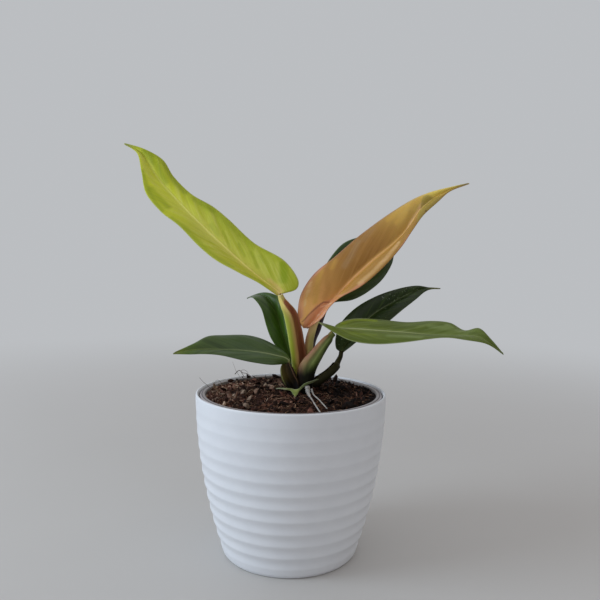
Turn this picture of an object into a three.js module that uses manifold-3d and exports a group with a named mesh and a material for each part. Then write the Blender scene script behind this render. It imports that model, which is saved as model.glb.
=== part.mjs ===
// A potted prince of orange philodendron: seven leaves on a short stem, in a grow pot that stands in a
// ribbed cover pot. Millimetres, +Z up. The origin is the centre of the cover pot's flat underside.

import * as THREE from 'three';
import { mergeVertices } from 'three/addons/utils/BufferGeometryUtils.js';
import Module from 'manifold-3d';

const wasm = await Module();
wasm.setup();

// Clearance that pieces keep where they touch, and how much a piece is grown before another is cut by it.
const GAP = 0.3;
const CUT_GROWTH = 0.45;

// Facets around the pots and around the thin stem.
const AROUND = 40;
const STEM_AROUND = 12;

// Cover pot: its wall follows a parabola from the foot to the rim, with narrow ribs between wide shallow
// flutes that fade towards the rim.
const POT_HEIGHT = 111;
const POT_RIM_RADIUS = 65;
const POT_FOOT_RADIUS = 45.7;
const POT_WALL = 1.8;
const POT_FLOOR = 3;
const FOOT_ROUND = 2;
const RIM_ROUND = 0.9;
const INNER_TOP_Z = 96;
const INNER_RINGS = 4;
const FLUTE_COUNT = 11;
const FIRST_FLUTE = 11;
const FLUTE_PITCH = 8.7;
const FLUTE_DEPTH = 0.75;
const FULL_FLUTES = 6;
const FLUTE_FADE = 0.17;
const FAINTEST_FLUTE = 0.35;

// Grow pot: straight tapered wall, an upright band under a rolled rim, and drain holes in the floor.
const GROW_FLOOR_Z = POT_FLOOR + GAP;
const GROW_FLOOR = 1.4;
const GROW_WALL = 1.2;
const GROW_FOOT_RADIUS = 41;
const GROW_TOP_RADIUS = 58.2;
const GROW_BAND_RADIUS = 59.6;
const GROW_BAND_Z = 99;
const GROW_RIM_RADIUS = 62.6;
const GROW_TOP_Z = 110.3;
const GROW_RIM_DEPTH = 3;
const GROW_ROUND = 0.5;
const GROW_SHOULDER = 1.6;
const GROW_CHAMFER = 1.5;
const DRAIN_HOLES = 6;
const DRAIN_RADIUS = 4;
const DRAIN_CIRCLE = 28;
const DRAIN_AROUND = 12;

// Potting mix: a low mound under the crown, with lumps.
const MIX_EDGE_Z = 108.6;
const MIX_RINGS = 10;
const MIX_CLEARANCE = GROW_WALL + 1.5 * GAP;
const MOUND_HEIGHT = 3;
const MOUND_SPREAD = 24;
const LUMP_HEIGHT = 0.7;
const CROWN_X = 6;
const CROWN_Y = 5;

// Leaf blades: their thickness, and how soon beside the midrib the halves begin to swell.
const LEAF_THICKNESS = 0.8;
const RIB_EASE = 0.1;

const COLOURS = {
  coverPot: '#e9ecf1',
  growPot: '#8c8581',
  mix: '#3b2a1e',
  stem: '#3f4a1e',
  lime: '#a6b125',
  limePetiole: '#a3a53c',
  orange: '#c8862c',
  orangePetiole: '#b3a552',
  green: '#6d8c2c',
  greenPetiole: '#7f8f42',
  dark: '#20391a',
  darkPetiole: '#3a3a1c',
  purplePetiole: '#33201f',
  cataphyll: '#9fae5a',
  root: '#c9c2b4',
};

function finish(colour, roughness) {
  return new THREE.MeshStandardMaterial({ color: colour, roughness, metalness: 0 });
}

// A closed three.js geometry as a solid that can be joined and cut.
function toSolid(geometry) {
  const bare = geometry.clone();
  bare.deleteAttribute('normal');
  bare.deleteAttribute('uv');
  const merged = mergeVertices(bare, 1e-4);
  return new wasm.Manifold(new wasm.Mesh({
    numProp: 3,
    vertProperties: new Float32Array(merged.attributes.position.array),
    triVerts: new Uint32Array(merged.index.array),
  }));
}

// The largest single body of a solid, as a geometry.
function toGeometry(solid) {
  const bodies = solid.decompose();
  bodies.sort((a, b) => b.volume() - a.volume());
  const mesh = bodies[0].getMesh();
  const geometry = new THREE.BufferGeometry();
  geometry.setAttribute('position', new THREE.BufferAttribute(new Float32Array(mesh.vertProperties), 3));
  geometry.setIndex(new THREE.BufferAttribute(new Uint32Array(mesh.triVerts), 1));
  geometry.computeVertexNormals();
  return geometry;
}

function indexedGeometry(points, triangles) {
  const geometry = new THREE.BufferGeometry().setFromPoints(points);
  geometry.setIndex(triangles);
  geometry.computeVertexNormals();
  return geometry;
}

function smoothCurve(points) {
  return new THREE.CatmullRomCurve3(points.map((p) => new THREE.Vector3(...p)), false, 'catmullrom', 0.5);
}

function lathe(profile) {
  const points = profile.map(([r, z]) => new THREE.Vector2(r, z));
  return new THREE.LatheGeometry(points, AROUND).rotateX(Math.PI / 2);
}

// Cover pot

function potBodyRadius(z) {
  return POT_RIM_RADIUS - (POT_RIM_RADIUS - POT_FOOT_RADIUS) * (1 - z / POT_HEIGHT) ** 2;
}

// How deep a flute is, of the full depth, counted from the foot.
function fluteStrength(flute) {
  return THREE.MathUtils.clamp(1 - FLUTE_FADE * (flute + 1 - FULL_FLUTES), FAINTEST_FLUTE, 1);
}

function coverPotGeometry() {
  const footCorner = 0.3 * FOOT_ROUND;
  const firstRib = FIRST_FLUTE - FLUTE_PITCH / 2;
  const outer = [
    [0, 0],
    [POT_FOOT_RADIUS - FOOT_ROUND, 0],
    [POT_FOOT_RADIUS - footCorner, footCorner],
    [potBodyRadius(FOOT_ROUND), FOOT_ROUND],
    [potBodyRadius(firstRib), firstRib],
  ];
  for (let flute = 0; flute < FLUTE_COUNT; flute += 1) {
    for (const [fraction, share] of [[-0.28, 0.85], [0.28, 0.85], [0.5, 0]]) {
      const z = FIRST_FLUTE + FLUTE_PITCH * (flute + fraction);
      outer.push([potBodyRadius(z) - share * FLUTE_DEPTH * fluteStrength(flute), z]);
    }
  }
  const rimCorner = 0.3 * RIM_ROUND;
  const rim = [
    [POT_RIM_RADIUS - rimCorner, POT_HEIGHT - rimCorner],
    [POT_RIM_RADIUS - RIM_ROUND, POT_HEIGHT],
    [POT_RIM_RADIUS - POT_WALL, POT_HEIGHT - 2 * rimCorner],
  ];
  const inner = [];
  for (let ring = 0; ring <= INNER_RINGS; ring += 1) {
    const z = THREE.MathUtils.lerp(INNER_TOP_Z, POT_FLOOR, ring / INNER_RINGS);
    inner.push([potBodyRadius(z) - POT_WALL - FLUTE_DEPTH, z]);
  }
  return lathe([...outer, ...rim, ...inner, [0, POT_FLOOR]]);
}

// Grow pot

function growWallRadius(z) {
  const rise = (z - GROW_FLOOR_Z) / (GROW_BAND_Z - GROW_FLOOR_Z);
  return GROW_FOOT_RADIUS + (GROW_TOP_RADIUS - GROW_FOOT_RADIUS) * rise;
}

function growPotGeometry() {
  const floorTop = GROW_FLOOR_Z + GROW_FLOOR;
  const bandFoot = GROW_BAND_Z + GROW_CHAMFER;
  const pot = lathe([
    [0, GROW_FLOOR_Z],
    [GROW_FOOT_RADIUS - GROW_CHAMFER, GROW_FLOOR_Z],
    [growWallRadius(GROW_FLOOR_Z + GROW_CHAMFER), GROW_FLOOR_Z + GROW_CHAMFER],
    [GROW_TOP_RADIUS, GROW_BAND_Z],
    [GROW_BAND_RADIUS, bandFoot],
    [GROW_BAND_RADIUS, GROW_TOP_Z - GROW_RIM_DEPTH - GROW_ROUND],
    [GROW_RIM_RADIUS, GROW_TOP_Z - GROW_RIM_DEPTH],
    [GROW_RIM_RADIUS, GROW_TOP_Z - 2 * GROW_ROUND],
    [GROW_RIM_RADIUS - GROW_SHOULDER, GROW_TOP_Z],
    [GROW_BAND_RADIUS - GROW_ROUND, GROW_TOP_Z],
    [GROW_BAND_RADIUS - GROW_WALL, GROW_TOP_Z - GROW_ROUND],
    [GROW_BAND_RADIUS - GROW_WALL, bandFoot],
    [GROW_TOP_RADIUS - GROW_WALL, GROW_BAND_Z],
    [growWallRadius(floorTop) - GROW_WALL, floorTop],
    [0, floorTop],
  ]);
  let solid = toSolid(pot);
  for (let hole = 0; hole < DRAIN_HOLES; hole += 1) {
    const angle = (hole * 2 * Math.PI) / DRAIN_HOLES;
    const drill = new THREE.CylinderGeometry(DRAIN_RADIUS, DRAIN_RADIUS, 4 * GROW_FLOOR, DRAIN_AROUND);
    drill.rotateX(Math.PI / 2);
    drill.translate(DRAIN_CIRCLE * Math.cos(angle), DRAIN_CIRCLE * Math.sin(angle), GROW_FLOOR_Z);
    solid = solid.subtract(toSolid(drill));
  }
  return toGeometry(solid);
}

// Potting mix

function mixHeight(x, y) {
  const fromCrown = Math.hypot(x - CROWN_X, y - CROWN_Y) / MOUND_SPREAD;
  const mound = MOUND_HEIGHT * Math.exp(-fromCrown * fromCrown);
  const lumps = Math.sin(0.43 * x + 1.3) * Math.sin(0.47 * y + 0.4)
    + 0.6 * Math.sin(0.71 * x - 0.53 * y) + 0.5 * Math.sin(0.37 * x + 0.83 * y + 2);
  return MIX_EDGE_Z + mound + 0.5 * LUMP_HEIGHT * lumps;
}

function mixGeometry() {
  const bottom = GROW_FLOOR_Z + GROW_FLOOR + GAP;
  const edgeRadius = GROW_BAND_RADIUS - MIX_CLEARANCE;
  const profile = [
    [0, bottom],
    [growWallRadius(bottom) - MIX_CLEARANCE, bottom],
    [GROW_TOP_RADIUS - MIX_CLEARANCE, GROW_BAND_Z],
    [edgeRadius, GROW_BAND_Z + 2 * GROW_CHAMFER],
  ];
  for (let ring = 0; ring <= MIX_RINGS; ring += 1) {
    profile.push([edgeRadius * (1 - ring / MIX_RINGS), MIX_EDGE_Z]);
  }
  const geometry = lathe(profile);
  const position = geometry.attributes.position;
  for (let i = 0; i < position.count; i += 1) {
    if (position.getZ(i) > MIX_EDGE_Z - 1) {
      position.setZ(i, mixHeight(position.getX(i), position.getY(i)));
    }
  }
  return geometry;
}

// Leaf blades

// A blade is lofted between three smooth curves: its left margin, its midrib and its right margin. Each
// station gives one point on each, left and right as seen from the foot of the blade, upper face up.
function bladeGeometry(spec, grow = 0) {
  const { stations, rows, across, ribDepth, swell, wave } = spec;
  const left = smoothCurve(stations.map((s) => s[0]));
  const rib = smoothCurve(stations.map((s) => s[1]));
  const right = smoothCurve(stations.map((s) => s[2]));
  const columns = [...across.slice().reverse().map((v) => -v), 0, ...across];

  // A point of the blade's middle surface, u along the midrib and v from -1 on the left to 1 on the right.
  function surface(u, v) {
    const onRib = rib.getPoint(u);
    const margin = (v < 0 ? left : right).getPoint(u);
    const reach = Math.abs(v);
    const forward = rib.getTangent(u);
    const sideways = new THREE.Vector3().subVectors(margin, onRib).multiplyScalar(v < 0 ? 1 : -1);
    const up = new THREE.Vector3().crossVectors(forward, sideways).normalize();
    const taper = Math.sin(Math.PI * u);
    const eased = (reach * reach) / (reach + RIB_EASE);
    const crown = (v < 0 ? swell[0] : swell[1]) * 4 * eased * (1 - reach) * Math.sqrt(taper);
    const phase = wave.phase + (v < 0 ? 0 : 2);
    const ripple = wave.height * reach * reach * taper * Math.sin(2 * Math.PI * wave.count * u + phase);
    return onRib.lerp(margin, reach).addScaledVector(up, crown + ripple);
  }

  const middle = [];
  for (let row = 0; row <= rows; row += 1) {
    middle.push(columns.map((v) => surface(row / rows, v)));
  }
  const width = columns.length;
  const upper = [];
  const lower = [];
  for (let row = 0; row <= rows; row += 1) {
    for (let column = 0; column < width; column += 1) {
      const here = middle[row][column].clone();
      const ahead = middle[Math.min(row + 1, rows)][column];
      const behind = middle[Math.max(row - 1, 0)][column];
      const toLeft = middle[row][Math.max(column - 1, 0)];
      const toRight = middle[row][Math.min(column + 1, width - 1)];
      const along = new THREE.Vector3().subVectors(ahead, behind).normalize();
      const over = new THREE.Vector3().subVectors(toLeft, toRight).normalize();
      const up = new THREE.Vector3().crossVectors(along, over).normalize();
      here.addScaledVector(along, grow * outward(row, rows));
      here.addScaledVector(over, -grow * outward(column, width - 1));
      const ridge = columns[column] === 0 ? ribDepth * (1 - row / rows) : 0;
      upper.push(here.clone().addScaledVector(up, LEAF_THICKNESS / 2 + grow));
      lower.push(here.addScaledVector(up, -LEAF_THICKNESS / 2 - ridge - grow));
    }
  }
  return sheetGeometry(upper, lower, rows, width);
}

// Which way the first and the last of a row of points move when a piece grows; the others stay.
function outward(index, last) {
  if (index === 0) {
    return -1;
  }
  return index === last ? 1 : 0;
}

// Two like grids of points closed by a strip round their edge, with the same triangles on both faces.
function sheetGeometry(upper, lower, rows, width) {
  const points = [...upper, ...lower];
  const triangles = [];
  const under = upper.length;
  const at = (row, column) => row * width + column;
  for (let row = 0; row < rows; row += 1) {
    for (let column = 0; column + 1 < width; column += 1) {
      const a = at(row, column);
      const b = at(row, column + 1);
      const c = at(row + 1, column + 1);
      const d = at(row + 1, column);
      triangles.push(a, b, c, a, c, d);
      triangles.push(under + a, under + c, under + b, under + a, under + d, under + c);
    }
  }
  const edge = [];
  for (let column = 0; column < width - 1; column += 1) {
    edge.push(at(0, column));
  }
  for (let row = 0; row < rows; row += 1) {
    edge.push(at(row, width - 1));
  }
  for (let column = width - 1; column > 0; column -= 1) {
    edge.push(at(rows, column));
  }
  for (let row = rows; row > 0; row -= 1) {
    edge.push(at(row, 0));
  }
  edge.forEach((a, i) => {
    const b = edge[(i + 1) % edge.length];
    triangles.push(a, under + a, under + b, a, under + b, b);
  });
  return indexedGeometry(points, triangles);
}

const BLADES = {
  lime: {
    colour: COLOURS.lime,
    rows: 26,
    across: [0.08, 0.36, 0.68, 1],
    ribDepth: 1.2,
    swell: [1.2, 1.5],
    wave: { height: 0.7, count: 3, phase: 0.5 },
    stations: [
      [[-10, 1, 176.5], [-8, 1, 178], [-6, 1, 178]],
      [[-16.5, -1, 181], [-10.5, 3, 179.5], [3, 0, 181.5]],
      [[-25.5, 0, 187], [-15.5, 7, 183], [3.5, 2, 189]],
      [[-38, 3, 193], [-25.5, 12, 190], [-6.5, 11, 201]],
      [[-53.5, 9, 200], [-38.5, 18, 200.5], [-27.5, 21, 212.5]],
      [[-66, 16, 209.5], [-54.5, 24, 214.5], [-46, 29, 229]],
      [[-81, 22, 224.5], [-69, 30, 227.5], [-58.5, 36, 238.5]],
      [[-95.5, 28, 234.5], [-82, 36, 240], [-75, 41, 247.5]],
      [[-107.5, 35, 247.5], [-96.5, 42, 255], [-89, 45, 261]],
      [[-112, 41, 263.5], [-106, 46, 267], [-97.5, 47, 273.5]],
      [[-116.5, 47, 278], [-114, 49, 278], [-111.5, 49, 281.5]],
      [[-127, 51, 285], [-127, 51, 285.5], [-126.5, 51, 286]],
    ],
  },
  orange: {
    colour: COLOURS.orange,
    rows: 26,
    across: [0.08, 0.36, 0.68, 1],
    ribDepth: 1.2,
    swell: [3.5, 1.5],
    wave: { height: 0.4, count: 2, phase: 0 },
    stations: [
      [[8, 1, 154.5], [10, 2, 155], [12, 1, 155]],
      [[5.5, 1, 158.5], [13.5, 3, 157.5], [17.5, -1, 159]],
      [[4, 5, 165], [18, 4, 162], [21.5, -2, 163]],
      [[6.5, 11, 178], [23.5, 6, 168.5], [25.5, -2, 169.5]],
      [[15.5, 18, 191.5], [30.5, 8, 175.5], [33, -1, 176]],
      [[30, 23, 203.5], [43, 11, 189], [47.5, 2, 183.5]],
      [[45, 26, 216.5], [57, 13, 202], [61, 4, 195]],
      [[59.5, 28, 227.5], [71, 15, 213.5], [74, 7, 209.5]],
      [[72, 26, 236.5], [80.5, 16, 223.5], [83, 10, 223]],
      [[84.5, 23, 244.5], [88.5, 17, 236], [90.5, 13, 233]],
      [[96, 21, 249.5], [98, 18, 244.5], [101, 15, 242.5]],
      [[108, 20, 252.5], [109, 19, 250.5], [110, 18, 250]],
      [[123.5, 20, 256], [123.5, 20, 256], [123.5, 20, 255.5]],
    ],
  },
  green: {
    colour: COLOURS.green,
    rows: 26,
    across: [0.08, 0.36, 0.68, 1],
    ribDepth: 1.2,
    swell: [1.2, 1.5],
    wave: { height: 0.6, count: 3, phase: 1 },
    stations: [
      [[28.5, -2, 154.5], [29.5, -3, 153], [30, -4, 152]],
      [[31, 3, 157], [32, -4, 154.5], [18, -10, 160]],
      [[37.5, 7, 160], [37, -5, 155], [29.5, -15, 153]],
      [[46, 8, 161], [45, -7, 155], [40, -20, 148.5]],
      [[61, 6, 160], [58, -10, 154.5], [53.5, -25, 148]],
      [[77.5, 1, 159.5], [74.5, -14, 154], [71, -29, 150]],
      [[94, -5, 161.5], [91, -18, 153], [88.5, -31, 152]],
      [[105.5, -11, 160.5], [103.5, -21, 153], [101, -32, 153]],
      [[114, -16, 156], [112.5, -24, 153.5], [110.5, -32, 152.5]],
      [[122.5, -21, 158.5], [122, -26, 153], [121.5, -31, 150.5]],
      [[129, -26, 152], [128.5, -28, 148.5], [128.5, -30, 147.5]],
      [[136, -30, 143], [136, -30, 143], [136, -30, 142.5]],
    ],
  },
  left: {
    colour: COLOURS.dark,
    rows: 20,
    across: [0.1, 0.5, 1],
    ribDepth: 1,
    swell: [1.2, 1.5],
    wave: { height: 0.5, count: 2, phase: 0 },
    stations: [
      [[-2, -4, 131], [-1.5, -3, 132.5], [-0.5, -2, 133]],
      [[-7, -10, 131], [-4.5, -4, 134.5], [-4.5, 2, 137.5]],
      [[-13, -17, 132], [-9.5, -6, 136], [-10, 4, 141.5]],
      [[-23, -22, 134.5], [-19.5, -9, 138.5], [-19.5, 3, 146]],
      [[-34, -26, 137], [-32, -13, 140.5], [-31, 0, 149]],
      [[-46, -28, 139.5], [-45.5, -17, 141.5], [-44.5, -5, 150]],
      [[-57, -28, 140.5], [-57, -20, 142], [-55.5, -11, 150]],
      [[-66.5, -26, 140], [-66, -22, 141.5], [-64.5, -17, 145.5]],
      [[-76.5, -24, 139.5], [-76.5, -24, 140], [-76, -24, 140.5]],
    ],
  },
  rear_left: {
    colour: COLOURS.dark,
    rows: 18,
    across: [0.1, 0.5, 1],
    ribDepth: 1,
    swell: [1, 1],
    wave: { height: 0.5, count: 2, phase: 0 },
    stations: [
      [[-1, 8, 128.5], [0.5, 8, 129], [2, 8, 129.5]],
      [[-5, 8, 132.5], [-1, 12, 133.5], [3, 9, 136.5]],
      [[-13.5, 12, 144], [-5, 20, 143.5], [2, 15, 149.5]],
      [[-18, 19, 153.5], [-9, 28, 153.5], [0, 22, 159]],
      [[-22.5, 27, 164.5], [-13, 36, 163.5], [-4.5, 30, 169.5]],
      [[-28.5, 36, 171.5], [-19.5, 44, 172], [-11.5, 39, 174]],
      [[-32, 47, 172], [-27, 51, 173.5], [-21, 48, 175.5]],
      [[-35, 56, 170], [-35, 56, 170.5], [-34.5, 56, 171]],
    ],
  },
  rear: {
    colour: COLOURS.dark,
    rows: 18,
    across: [0.1, 0.5, 1],
    ribDepth: 1,
    swell: [1.5, 1.5],
    wave: { height: 0.5, count: 2, phase: 0 },
    stations: [
      [[23.5, 20, 170.5], [25, 20, 170.5], [26, 20, 169.5]],
      [[21, 20, 179], [27.5, 22, 174], [32, 18, 171.5]],
      [[22, 28, 191.5], [34.5, 28, 180], [43, 21, 173]],
      [[26.5, 37, 201], [43.5, 36, 189.5], [54.5, 28, 178]],
      [[36.5, 45, 212.5], [53.5, 43, 199.5], [65.5, 35, 186.5]],
      [[48, 50, 217.5], [63, 49, 208.5], [73, 41, 197.5]],
      [[61, 54, 220], [72, 54, 216], [76, 48, 206.5]],
      [[72, 58, 224], [78.5, 58, 222.5], [79, 55, 216.5]],
      [[83, 60, 227], [83, 60, 227], [83.5, 60, 226.5]],
    ],
  },
  rear_right: {
    colour: COLOURS.dark,
    rows: 18,
    across: [0.1, 0.5, 1],
    ribDepth: 1,
    swell: [1, 1],
    wave: { height: 0.4, count: 2, phase: 0 },
    stations: [
      [[34.5, 20, 135.5], [35.5, 20, 135], [36.5, 20, 134.5]],
      [[31.5, 20, 138.5], [37.5, 22, 138], [41.5, 18, 139]],
      [[31.5, 22, 146.5], [42, 25, 144], [48.5, 18, 145]],
      [[36, 26, 156.5], [49.5, 29, 153], [58, 20, 150]],
      [[47.5, 32, 167], [61.5, 35, 162.5], [69.5, 26, 156.5]],
      [[63, 38, 175], [75, 41, 170], [81, 33, 165]],
      [[79.5, 44, 180], [87.5, 46, 176], [92, 41, 172.5]],
      [[93.5, 49, 182], [97, 50, 179.5], [99, 48, 177]],
      [[104, 53, 180.5], [104.5, 53, 180], [105, 53, 179]],
      [[113, 56, 180], [113, 56, 179.5], [113, 56, 179.5]],
    ],
  },
};

// Petioles

// A petiole is lofted from elliptical sections. Each station gives its centre, its half width across and
// along the open side, and how far the section opens into a sheath, from 0 for round to 1 for a channel
// whose wall is thickest at the back and thins to the sheath's margins.
const SHEATH_ANGLE = THREE.MathUtils.degToRad(130);
const SHEATH_MARGIN = 1;
const THICKEST_SHARE = 0.9;
const OUTER_SPANS = 6;
const INNER_SPANS = 6;

function petioleGeometry(spec, grow = 0) {
  const { stations, steps, open } = spec;
  const path = smoothCurve(stations.map((s) => s.slice(0, 3)));
  const form = smoothCurve(stations.map((s) => s.slice(3)));
  const rings = [];
  for (let step = 0; step <= steps; step += 1) {
    const u = step / steps;
    const centre = path.getPoint(u);
    const along = path.getTangent(u);
    centre.addScaledVector(along, grow * outward(step, steps));
    const shape = form.getPoint(u);
    const halfSide = shape.x + grow;
    const halfOpen = shape.y + grow;
    const openness = THREE.MathUtils.clamp(shape.z, 0, 1);
    const side = new THREE.Vector3().crossVectors(along, new THREE.Vector3(...open)).normalize();
    const facing = new THREE.Vector3().crossVectors(side, along).normalize();
    const reach = SHEATH_ANGLE + (1.5 * grow) / halfSide;
    const place = (angle, inset) => centre.clone()
      .addScaledVector(facing, -(halfOpen - inset) * Math.cos(angle))
      .addScaledVector(side, (halfSide - inset) * Math.sin(angle));
    const ring = [];
    for (let k = 0; k <= OUTER_SPANS; k += 1) {
      ring.push(place(reach * ((2 * k) / OUTER_SPANS - 1), 0));
    }
    for (let k = 1; k < INNER_SPANS; k += 1) {
      const share = k / INNER_SPANS;
      const closing = reach + (2 * Math.PI - 2 * reach) * share;
      const angle = reach * (1 - 2 * share);
      const backness = Math.cos(angle / 2) ** 6;
      const wall = SHEATH_MARGIN + (halfOpen - SHEATH_MARGIN) * backness + 2 * grow;
      const inset = Math.min(wall, THICKEST_SHARE * halfSide);
      ring.push(place(closing, 0).lerp(place(angle, inset), openness));
    }
    rings.push(ring);
  }
  return tubeGeometry(rings);
}

// A closed tube through rings of points, each end closed by a fan.
function tubeGeometry(rings) {
  const size = rings[0].length;
  const points = rings.flat();
  const triangles = [];
  for (let ring = 0; ring + 1 < rings.length; ring += 1) {
    for (let k = 0; k < size; k += 1) {
      const next = (k + 1) % size;
      const a = ring * size + k;
      const b = ring * size + next;
      triangles.push(a, b + size, b, a, a + size, b + size);
    }
  }
  const last = (rings.length - 1) * size;
  for (let k = 1; k + 1 < size; k += 1) {
    triangles.push(0, k, k + 1, last, last + k + 1, last + k);
  }
  return indexedGeometry(points, triangles);
}

const PETIOLES = {
  lime: {
    colour: COLOURS.limePetiole,
    steps: 14,
    open: [0.77, -0.64, 0.1],
    stations: [
      [5, 2, 107, 4.5, 5, 0],
      [5.5, 2, 116, 5, 5.5, 0.6],
      [6, 1.5, 125, 5, 5.8, 1],
      [5, 1, 136, 4.8, 5.8, 1],
      [3.6, 0.5, 144.5, 4.6, 6, 1],
      [2.3, 0.5, 152, 4.4, 6, 1],
      [-0.5, 1, 163, 3.9, 5.6, 1],
      [-4.2, 1, 169.5, 3.2, 3.8, 1],
      [-6.6, 1, 173.5, 2.4, 2.5, 0.5],
      [-7.5, 1, 176.8, 2, 2.1, 0],
    ],
  },
  green: {
    colour: COLOURS.greenPetiole,
    steps: 12,
    open: [-0.75, 0.3, 0.4],
    stations: [
      [9, -3, 107, 4.5, 5, 0],
      [9, -5, 117, 4.8, 6.2, 0.6],
      [10.5, -6, 128.3, 4.8, 6.8, 1],
      [16.9, -6.4, 138.3, 4.5, 5.1, 1],
      [22, -6, 145.2, 3.6, 4, 1],
      [24.8, -5.4, 148.2, 3, 3.4, 0.9],
      [26.4, -4.8, 150, 2.3, 2.4, 0.1],
      [28.2, -4, 151.8, 2.1, 2.2, 0],
    ],
  },
  left: {
    colour: COLOURS.darkPetiole,
    steps: 8,
    open: [-0.3, -0.85, 0.4],
    stations: [
      [3, -5.5, 107, 4, 3.5, 0],
      [2, -7.2, 115.5, 4.6, 3.8, 0.8],
      [-0.9, -7.4, 121, 5.2, 3.5, 1],
      [-2.7, -6.6, 126, 4.8, 3, 1],
      [-3.3, -5.4, 129, 3.8, 2.4, 0.9],
      [-2.4, -3.8, 131.2, 1.6, 1.5, 0.2],
      [-1.5, -3.2, 132.2, 1.3, 1.3, 0],
    ],
  },
  rear_right: {
    colour: COLOURS.darkPetiole,
    steps: 10,
    open: [-0.6, 0, 0.8],
    stations: [
      [12, 9, 107, 3.5, 3.5, 0],
      [17.5, 10, 115.3, 4, 4, 0.6],
      [25.7, 13, 121.2, 3.7, 3.7, 1],
      [30.2, 15.2, 125, 3.6, 3.6, 0.9],
      [31.8, 16.3, 127, 3.2, 3.4, 0.8],
      [32.6, 16.9, 128.1, 2.2, 2.2, 0.1],
      [34.9, 18.7, 132.3, 1.7, 1.7, 0],
      [35.5, 19.8, 136, 1.5, 1.5, 0],
    ],
  },
  orange: {
    colour: COLOURS.orangePetiole,
    steps: 9,
    open: [-0.3, -0.9, 0.2],
    stations: [
      [10, 9, 107, 3.2, 3, 0],
      [11, 8, 120, 3.4, 3, 0],
      [11.8, 6.5, 136, 3.2, 2.8, 0],
      [12.3, 6.5, 144.5, 3, 2.6, 0],
      [13.5, 6.5, 150, 2.8, 2.4, 0],
      [15.5, 7, 156.5, 2.6, 2.2, 0],
      [18, 6.5, 161, 2, 1.6, 0],
      [20, 5, 163.5, 1.4, 1.2, 0],
    ],
  },
  rear: {
    colour: COLOURS.purplePetiole,
    steps: 9,
    open: [-0.5, -0.5, 0.7],
    stations: [
      [7, 14, 107, 3, 3, 0],
      [10, 14, 122, 3.2, 3.2, 0],
      [14, 15, 143, 3, 3, 0],
      [17.6, 16.5, 152, 2.9, 2.9, 0],
      [20.2, 18, 160, 2.7, 2.7, 0],
      [24, 20, 169, 2.3, 2.3, 0],
      [26, 20.5, 172, 2, 2, 0],
    ],
  },
  rear_left: {
    colour: COLOURS.darkPetiole,
    steps: 6,
    open: [-0.5, 0, 0.8],
    stations: [
      [1, 11, 107, 3, 3, 0],
      [0, 11, 118, 2.8, 2.8, 0],
      [0.3, 8.5, 128.2, 1.8, 1.8, 0],
    ],
  },
};

// Stem: a short stub, ringed where old leaves have dropped.
const STEM_PROFILE = [[0, 92], [5, 92], [6.5, 97], [6, 101], [6.6, 105], [6, 110], [4.6, 116], [0, 116]];

function stemGeometry(grow = 0) {
  const bottom = STEM_PROFILE[0][1];
  const middle = (bottom + STEM_PROFILE.at(-1)[1]) / 2;
  const points = STEM_PROFILE.map(([r, z]) => {
    const outwards = r === 0 ? 0 : grow;
    return new THREE.Vector2(r + outwards, z + grow * Math.sign(z - middle));
  });
  const geometry = new THREE.LatheGeometry(points, STEM_AROUND).rotateX(Math.PI / 2);
  return geometry.translate(CROWN_X, CROWN_Y, 0);
}

// Cataphyll: the torn sheath that once held a leaf, left as a thin band with one tooth at the crown's front.
const CATAPHYLL = {
  rows: 18,
  across: [0.5, 1],
  ribDepth: 0,
  swell: [0, 0],
  wave: { height: 0, count: 1, phase: 0 },
  stations: [
    [[-10, -5, 113.9], [-10, -5, 113.6], [-10, -5, 113.3]],
    [[-7, -9, 115], [-7, -9, 114.6], [-7, -9, 114.1]],
    [[-3.5, -12.2, 115.6], [-3.5, -12.4, 115], [-3.5, -12.6, 114.3]],
    [[0, -12.4, 115.4], [0, -12.7, 114.7], [0, -13, 113.7]],
    [[2.8, -12.8, 114.9], [2.9, -14.6, 112.5], [3, -16, 110.4]],
    [[5.4, -12.8, 115.5], [5.4, -13.2, 114.7], [5.4, -13.6, 113.4]],
    [[7.4, -12.6, 117.4], [7.4, -12.9, 116.5], [7.4, -13.1, 115.5]],
    [[10, -12.4, 119.4], [10, -12.6, 118.5], [10, -12.8, 117.6]],
    [[14.8, -11, 120.7], [14.8, -11.1, 120], [14.8, -11.2, 119.3]],
    [[18.5, -8.4, 121.4], [18.5, -8.4, 121.1], [18.5, -8.4, 120.8]],
  ],
};

// Aerial roots: two thin pale roots that part from a knob at the crown's foot and lie over the mix, one as
// far as the rim.
const ROOTS = [
  {
    steps: 16,
    open: [0, 0, 1],
    stations: [
      [11, -12.2, 117, 1.6, 1.6, 0],
      [11.4, -13.4, 114.4, 1.6, 1.6, 0],
      [12, -15.2, 112.3, 1.1, 1.1, 0],
      [13, -18, 111, 0.6, 0.6, 0],
      [14.2, -24, 110.5, 0.45, 0.45, 0],
      [16, -38, 110.3, 0.45, 0.45, 0],
      [17.5, -51, 110.7, 0.45, 0.45, 0],
      [18.2, -58.5, 111.3, 0.4, 0.4, 0],
    ],
  },
  {
    steps: 12,
    open: [0, 0, 1],
    stations: [
      [13.9, -13.2, 115.5, 0.7, 0.7, 0],
      [14.4, -13.8, 113.6, 0.6, 0.6, 0],
      [15.6, -15.8, 111.7, 0.45, 0.45, 0],
      [18.3, -21.5, 110.5, 0.4, 0.4, 0],
      [20.7, -33, 110.2, 0.4, 0.4, 0],
      [23, -46, 110.3, 0.4, 0.4, 0],
    ],
  },
];

// Assembly

const plant = new THREE.Group();

function addMesh(name, geometry, material) {
  const mesh = new THREE.Mesh(geometry, material);
  mesh.name = name;
  plant.add(mesh);
}

addMesh('cover_pot', coverPotGeometry(), finish(COLOURS.coverPot, 0.45));
addMesh('grow_pot', growPotGeometry(), finish(COLOURS.growPot, 0.5));

for (const [leaf, spec] of Object.entries(BLADES)) {
  addMesh(`${leaf}_blade`, bladeGeometry(spec), finish(spec.colour, 0.45));
}

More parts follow.
